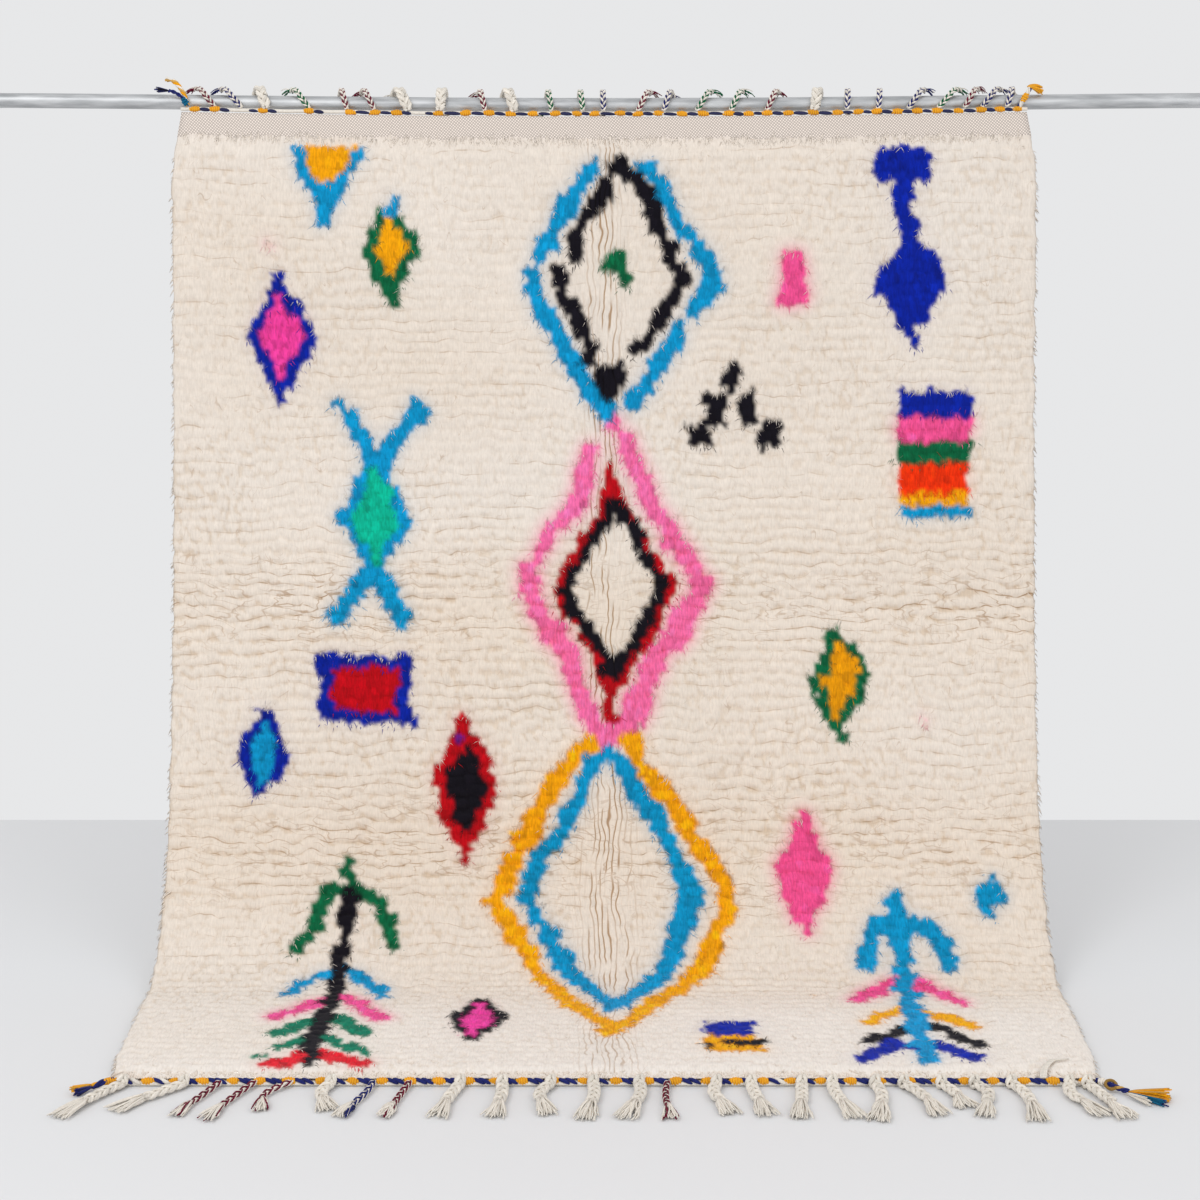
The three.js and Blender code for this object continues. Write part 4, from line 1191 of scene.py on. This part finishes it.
def windBlob(yarn, centre, along, half, girth, colour, turns=5):  # yarn wound round a cord
    along = unit(np.asarray(along, float))
    a = unit(np.cross(along, [0.0, 0.6, 0.8]))
    b = np.cross(along, a)
    t = np.linspace(0, 1, 8 * turns + 1)
    turn = 2 * np.pi * turns * t + dice.uniform(0, 6)
    swell = girth * (0.45 + 0.55 * np.sin(np.pi * t))
    pts = np.asarray(centre) + (half * (2 * t - 1))[:, None] * along
    pts = pts + (swell * np.cos(turn))[:, None] * a + (swell * np.sin(turn))[:, None] * b
    yarn.strand(pts, 1.12 * half / turns, shaded(colour, 0.04))


def twistCord(yarn, path, radius, colours, period):  # plies round each other
    run = runAlong(path)
    out = np.tile([0.0, -0.8, 0.6], (len(path), 1))
    side = turned(path, out)
    up = np.cross(side, unit(np.gradient(path, axis=0)))
    for k, colour in enumerate(colours):
        turn = 2 * np.pi * run / period + 2 * np.pi * k / len(colours)
        pts = path + 0.5 * radius * (np.cos(turn)[:, None] * side + np.sin(turn)[:, None] * up)
        yarn.strand(pts, 0.56 * radius, shaded(colour))


def brushFrom(yarn, base, way, length, spread, count, colours, thick, droop=0.0):
    way = unit(np.asarray(way, float))
    for i in range(count):
        t = np.linspace(0, 1, 6)[:, None]
        aside = np.clip(dice.normal(0, 1, 3), -1.5, 1.5)
        aside -= way * (aside @ way)
        pts = np.asarray(base) + way * length * dice.uniform(0.75, 1.05) * t
        pts = pts + spread * aside * (0.25 * t ** 0.5 + 0.4 * t) + np.array([0, 0, -droop]) * t ** 2
        yarn.strand(pts, thick * np.linspace(1, 0.7, 6), shaded(colours[i % len(colours)]), 4)


def makeTopCorners():
    yarn = Yarn()  # left: a tan cord that stands up and a navy one that lies over
    up = through([(-0.762, -0.0195, -0.010), (-0.768, -0.0215, 0.010), (-0.779, -0.021, 0.027),
                  (-0.789, -0.019, 0.035)], 26)
    twistCord(yarn, up, 0.0042, ("tan", "yellow", "white"), 0.022)
    brushFrom(yarn, up[-1], (-0.7, 0.1, 0.15), 0.013, 0.004, 16, ("tan", "white"), 0.0013)
    over = through([(-0.763, -0.0235, -0.006), (-0.773, -0.0245, 0.006), (-0.786, -0.023, 0.014),
                    (-0.796, -0.021, 0.0165)], 24)
    twistCord(yarn, over, 0.0036, ("navy", "navy"), 0.020)
    brushFrom(yarn, over[-1], (-1, 0, 0.08), 0.025, 0.005, 18, ("slate", "navy", "black"), 0.0014)
    windBlob(yarn, (-0.766, -0.0235, -0.003), (-0.5, 0, 1), 0.007, 0.0044, "teal", 3)
    pieces = [yarn.build("corner_tail_top_left_yarn", "corner_tail_top_left")]
    yarn = Yarn()  # right: the edge cord goes on up over the rod and ends in a yellow brush
    cord = through([(0.760, -0.0195, -0.012), (0.768, -0.0215, 0.002), (0.775, -0.021, 0.014),
                    (0.779, -0.017, 0.021)], 26)
    twistCord(yarn, cord, 0.0042, ("white", "navy", "white"), 0.022)
    windBlob(yarn, cord[10], cord[11] - cord[9], 0.0085, 0.0044, "saffron", 4)
    brushFrom(yarn, cord[-1] + [-0.004, 0.002, 0.003], (0.9, 0.1, 0.16), 0.028, 0.008, 60,
              ("saffron", "saffron", "tan"), 0.0014, droop=0.010)
    pieces.append(yarn.build("corner_tail_top_right_yarn", "corner_tail_top_right"))
    return pieces


fringe = []
for i, row in enumerate(rodPlaits):
    fringe.append(makeRodPlait(f"rod_plait_{i + 1:02d}", *row))
fringe += makeTopCorners()
print("rod plaits made")


floorPlaits = [  # place, drift and reach of the tip
    (-0.757, -0.078, 0.128, "white"), (-0.661, -0.092, 0.104, "white"), (-0.604, -0.051, 0.124, "burgundy"),
    (-0.549, -0.060, 0.138, "burgundy"), (-0.492, -0.058, 0.098, "burgundy"),
    (-0.430, -0.012, 0.104, "white"), (-0.363, -0.037, 0.128, "navy"), (-0.306, -0.029, 0.132, "burgundy"),
    (-0.227, -0.031, 0.128, "white"), (-0.161, -0.003, 0.128, "white"), (-0.085, -0.023, 0.120, "white"),
    (-0.018, -0.005, 0.138, "white"), (0.054, -0.012, 0.136, "white"), (0.099, -0.005, 0.136, "burgundy"),
    (0.175, 0.003, 0.120, "white"), (0.230, 0.014, 0.124, "white"), (0.309, -0.010, 0.132, "white"),
    (0.357, 0.017, 0.136, "white"), (0.424, 0.002, 0.146, "white"), (0.469, 0.052, 0.118, "white"),
    (0.528, 0.034, 0.090, "white"), (0.580, 0.017, 0.128, "white"), (0.638, 0.031, 0.142, "white"),
    (0.729, 0.012, 0.128, "white"), (0.757, 0.040, 0.134, "white"),
]
brushTaper = np.array([0.0018, 0.0018, 0.0018, 0.0017, 0.0015, 0.0010])  # a loose strand from root to tip
bindingY = frontY - 0.0003 - bindingCord["radius"]


def makeFloorPlait(node, x, drift, reach, kind):
    size = plaitSizes[kind]
    floor = rugCurve["floor"]
    thick = size["thick"]
    # over the binding or from its front, then along the floor
    if kind == "white":
        arc = bindingCord["radius"] + 0.0004 + 0.8 * thick
        turn = np.radians(np.linspace(76, 8, 8))
        height = floor + bindingCord["radius"] + arc * np.sin(turn)
        head = np.stack([0 * turn + x, bindingY - arc * np.cos(turn), height], 1)
        head[:, 2] = np.maximum(head[:, 2], floor + thick)
        headOut = np.stack([0 * turn, -np.cos(turn), np.sin(turn)], 1)
    else:
        head = np.array([[x, bindingY - bindingCord["radius"] + 0.001, floor + thick + 0.003]])
        headOut = np.array([[0.0, 0.0, 1.0]])
    begin = head[-1]
    tip = np.array([x + drift, bindingY - bindingCord["radius"] - reach, floor + thick * 0.9])
    t = np.linspace(0.08, 1, 20)[:, None]
    bow = 0.005 * dice.normal() * np.sin(np.pi * t)
    line = begin + (tip - begin) * t * size["floorShare"] + bow * np.array([1.0, 0.3, 0])
    line[:, 2] = floor + thick + 0.0010 + (begin[2] - floor - thick) * (1 - t[:, 0]) ** 3
    path = np.concatenate([head, line])
    out = np.concatenate([headOut, np.tile([0.0, 0.0, 1.0], (20, 1))])
    yarn = Yarn()
    end, along = plaitAlong(yarn, path, turned(path, out), out, size, 42, size["floorPeriod"])
    across = np.array([-along[1], along[0], 0.0])
    end[2] = floor + thick + 0.0006
    pair = size["colours"][0]
    windBlob(yarn, end, along, 0.0035, 0.72 * thick, pair[0], 3)
    left = np.linalg.norm(tip - end)
    root = 0.40 * size["wide"]
    for i in range(size["brushStrands"]):  # loose brush
        spread, high = dice.uniform(-1, 1), dice.uniform(0.1, 1)
        t = np.linspace(0, 1, 6)[:, None]
        wave = dice.normal(0, 0.0018) * np.sin(2 * np.pi * t * dice.uniform(0.5, 1.2))
        sideways = root * spread + (size["brush"] - root) * spread * t ** 0.8 + wave
        pts = end + along * left * dice.uniform(0.72, 1.06) * t + across * sideways
        pts[:, 2] = floor + 0.0021 + (thick * 1.45 * high) * (1 - t[:, 0] ** 1.5) + 0.0040 * high * t[:, 0]
        yarn.strand(pts, brushTaper, shaded(pair[0] if i % 4 else pair[1], 0.05), 4)
    return yarn.build(node + "_yarn", node)


def makeFloorCorners():
    floor = rugCurve["floor"]
    yarn = Yarn()  # left: a short end of the navy and yellow yarn
    cord = through([(-0.772, bindingY - 0.001, floor + 0.009), (-0.788, bindingY - 0.010, floor + 0.009),
                    (-0.802, bindingY - 0.022, floor + 0.0065)], 18)
    twistCord(yarn, cord, 0.0050, ("navy", "saffron", "navy"), 0.046)
    windBlob(yarn, cord[4], cord[5] - cord[3], 0.0080, 0.0046, "saffron", 4)
    brushFrom(yarn, cord[-1], (-0.62, -0.78, 0), 0.032, 0.005, 30, ("navy", "navy", "slate"), 0.0016)
    brushFrom(yarn, cord[-1] + [-0.003, 0.004, 0.002], (-0.70, -0.70, 0), 0.034, 0.005, 26,
              ("saffron", "tan"), 0.0016)
    pieces = [yarn.build("corner_tail_floor_left_yarn", "corner_tail_floor_left")]
    yarn = Yarn()  # right: navy cord with a ring knot, then a yellow, teal and white brush
    cord = through([(0.772, bindingY - 0.002, floor + 0.009), (0.786, bindingY - 0.016, floor + 0.010),
                    (0.802, bindingY - 0.030, floor + 0.0075), (0.815, bindingY - 0.040, floor + 0.006)], 24)
    twistCord(yarn, cord, 0.0044, ("navy", "navy", "tan"), 0.026)
    windBlob(yarn, cord[5], cord[6] - cord[4], 0.0070, 0.0052, "white", 3)
    turn = np.linspace(0, 2 * np.pi, 21)
    ring = np.stack([0.791 + 0.0085 * np.cos(turn), bindingY - 0.024 + 0.0085 * np.sin(turn),
                     floor + 0.011 + 0.004 * np.sin(turn)], 1)
    yarn.strand(ring, 0.0026, yarnColours["tan"] * 0.5, 6)
    brushFrom(yarn, cord[-1], (0.84, -0.40, 0.03), 0.062, 0.010, 70, ("saffron", "yellow", "tan"), 0.0015)
    brushFrom(yarn, cord[-1] + [0.002, -0.006, 0], (0.74, -0.66, 0), 0.062, 0.005, 22,
              ("teal", "navy", "teal"), 0.0015)
    brushFrom(yarn, cord[-1] + [-0.004, -0.006, 0], (0.52, -0.85, 0), 0.052, 0.006, 12, ("white",), 0.0013)
    pieces.append(yarn.build("corner_tail_floor_right_yarn", "corner_tail_floor_right"))
    return pieces


for i, row in enumerate(floorPlaits):
    fringe.append(makeFloorPlait(f"floor_plait_{i + 1:02d}", *row))
fringe += makeFloorCorners()
print("floor plaits made")


# bindings: a white cord with yellow and navy yarn worked over it
def layDash(yarn, a, b, y, z, colour, thick):
    t = np.linspace(0, 1, 9)
    swell = np.sqrt(np.maximum(np.sin(np.pi * t), 0))
    x = a + (b - a) * t
    pts = np.stack([x, y - 0.0030 * swell, z(x) + 0.0008 * (1 - 2 * t)], 1)
    yarn.strand(pts, thick * (0.35 + 0.65 * swell), shaded(colour, 0.05), 6)


yellowKnots = [  # where the yellow yarn sits along the upper edge
    -0.749, -0.713, -0.625, -0.540, -0.465, -0.420, -0.380, -0.303, -0.253, -0.210, -0.172, -0.130,
    -0.089, -0.050, -0.017, 0.030, 0.062, 0.099, 0.143, 0.181, 0.228, 0.265, 0.299, 0.337,
    0.383, 0.427, 0.465, 0.499, 0.537, 0.574, 0.609, 0.649, 0.690, 0.725, 0.757,
]


def makeTopBinding():
    yarn = Yarn()
    y, half = rugCurve["hangY"], bindingCord["half"]

    def z(x):
        x = np.asarray(x)
        return -bindingCord["belowRod"] - edgeDrop(x) + 0.0008 * softNoise(x * 24, x * 0, 51)

    under = lambda x: z(x) - 0.0008
    s = np.linspace(-half, half, 400)
    yarn.strand(np.stack([s, 0 * s + y, z(s)], 1), bindingCord["core"], yarnColours["white"], 8)
    last = None
    for x in yellowKnots:
        centre = (x, y - 0.0006, float(z(x)) - 0.0004 + dice.normal(0, 0.0005))
        windBlob(yarn, centre, (1, 0, dice.normal(0.02, 0.06)),
                 dice.uniform(0.0086, 0.0102), dice.uniform(0.0038, 0.0046), "saffron")
        if last is not None:
            gap = x - last - 0.018
            first = gap if gap < 0.034 else dice.uniform(0.016, 0.024)
            thick = dice.uniform(0.0030, 0.0037)
            layDash(yarn, last + 0.0080, last + 0.0100 + first, y, under, "slate", thick)
            if gap >= 0.034 and dice.random() < 0.8:
                layDash(yarn, x - 0.010 - dice.uniform(0.012, 0.018), x - 0.0080, y, under, "slate", 0.0029)
        last = x
    return yarn.build("bindingTopYarn", "binding_top")


navyTaper = 0.0032 * np.array([0.5, 0.8, 1, 1, 1, 1, 0.8, 0.4])


def makeFloorBinding():
    yarn = Yarn()
    half, floor = bindingCord["half"], rugCurve["floor"]
    s = np.linspace(-half, half, 300)
    core = np.stack([s, 0 * s + bindingY - 0.0016, 0 * s + floor + 0.0040], 1)
    yarn.strand(core, 0.0036, yarnColours["white"], 8)
    x = -0.768
    while x < half - 0.008:
        way = (1, dice.normal(0, 0.10), dice.normal(0, 0.06))
        windBlob(yarn, (x, bindingY - 0.0004, floor + 0.0074), way,
                 dice.uniform(0.0088, 0.0108), dice.uniform(0.0044, 0.0054), "saffron")
        step = dice.uniform(0.042, 0.052)
        for i in range(2):  # navy yarn slants over the cord between them
            a = x + 0.0070 + i * (step - 0.024) / 2
            if a < half - 0.020:
                pts = through([(a, bindingY + 0.0040, floor + 0.0098),
                               (a + 0.009, bindingY - 0.0042, floor + 0.0096),
                               (a + 0.019, bindingY - 0.0060, floor + 0.0050)], 8)
                colour = "navy" if i < 1 or dice.random() < 0.75 else "white"
                yarn.strand(pts, navyTaper, shaded(colour), 5)
        x += step
    # a loose white end that lies back over the pile
    for i in range(16):
        lay = dice.uniform(-0.006, 0.006)
        pts = through([(0.690 + lay, bindingY, floor + 0.012), (0.696 + lay, bindingY + 0.020, floor + 0.021),
                       (0.712 + lay, bindingY + 0.046, floor + 0.0235),
                       (0.728 + 3 * lay, bindingY + 0.052 + lay, floor + 0.022)], 12)
        yarn.strand(pts, 0.0016, shaded("white"), 4)
    return yarn.build("bindingFloorYarn", "binding_floor")


bindings = [makeTopBinding(), makeFloorBinding()]
print("bindings made")


# floor, light and camera
stageFloor = {"front": -7.0, "back": 0.66, "half": 6.0, "paint": (0.765, 0.77, 0.78, 1)}


def makeStage():
    bpy.ops.object.select_all(action="DESELECT")
    bpy.ops.mesh.primitive_plane_add(size=1)
    ob = bpy.context.object
    ob.name = "studioFloor"
    ob.scale = (2 * stageFloor["half"], stageFloor["back"] - stageFloor["front"], 1)
    ob.location = (0, (stageFloor["back"] + stageFloor["front"]) / 2, rugCurve["floor"] - 0.0005)
    bpy.ops.object.transform_apply(location=True, rotation=True, scale=True)
    mat, net, bsdf = newMaterial("studioFloor")
    net.plug(bsdf, {"Base Color": stageFloor["paint"], "Roughness": 0.6, "Specular IOR Level": 0.25})
    ob.data.materials.append(mat)


makeStage()


def addLight(name, place, aim, size, watts):
    data = bpy.data.lights.new(name, "AREA")
    data.shape = "DISK"
    data.size = size
    data.energy = watts
    ob = bpy.data.objects.new(name, data)
    ob.location = place
    ob.rotation_euler = (Vector(aim) - Vector(place)).to_track_quat("-Z", "Y").to_euler()
    bpy.context.scene.collection.objects.link(ob)


rugMiddle = (0, -0.3, -0.8)
addLight("softKey", (-2.4, -4.2, 2.4), rugMiddle, 2.6, 75)
addLight("softFill", (2.8, -4.4, 1.2), rugMiddle, 3.0, 36)

paleRoom = {"Color": (0.93, 0.935, 0.945, 1), "Strength": 0.86}
world = bpy.data.worlds.new("paleRoom")
world.use_nodes = True
Net(world.node_tree).plug(world.node_tree.nodes["Background"], paleRoom)
bpy.context.scene.world = world
bpy.context.scene.view_settings.view_transform = "Standard"

view = {"place": (-0.0075, -4.322, -0.164), "down": 10.087, "lens": 68.97}
lensData = bpy.data.cameras.new("photoCamera")
lensData.lens = view["lens"]
lensData.sensor_width = 36
lensData.clip_end = 60
camera = bpy.data.objects.new("photoCamera", lensData)
camera.location = view["place"]
camera.rotation_euler = (math.radians(90 - view["down"]), 0, 0)
bpy.context.scene.collection.objects.link(camera)
bpy.context.scene.camera = camera
print("stage, light and camera set")
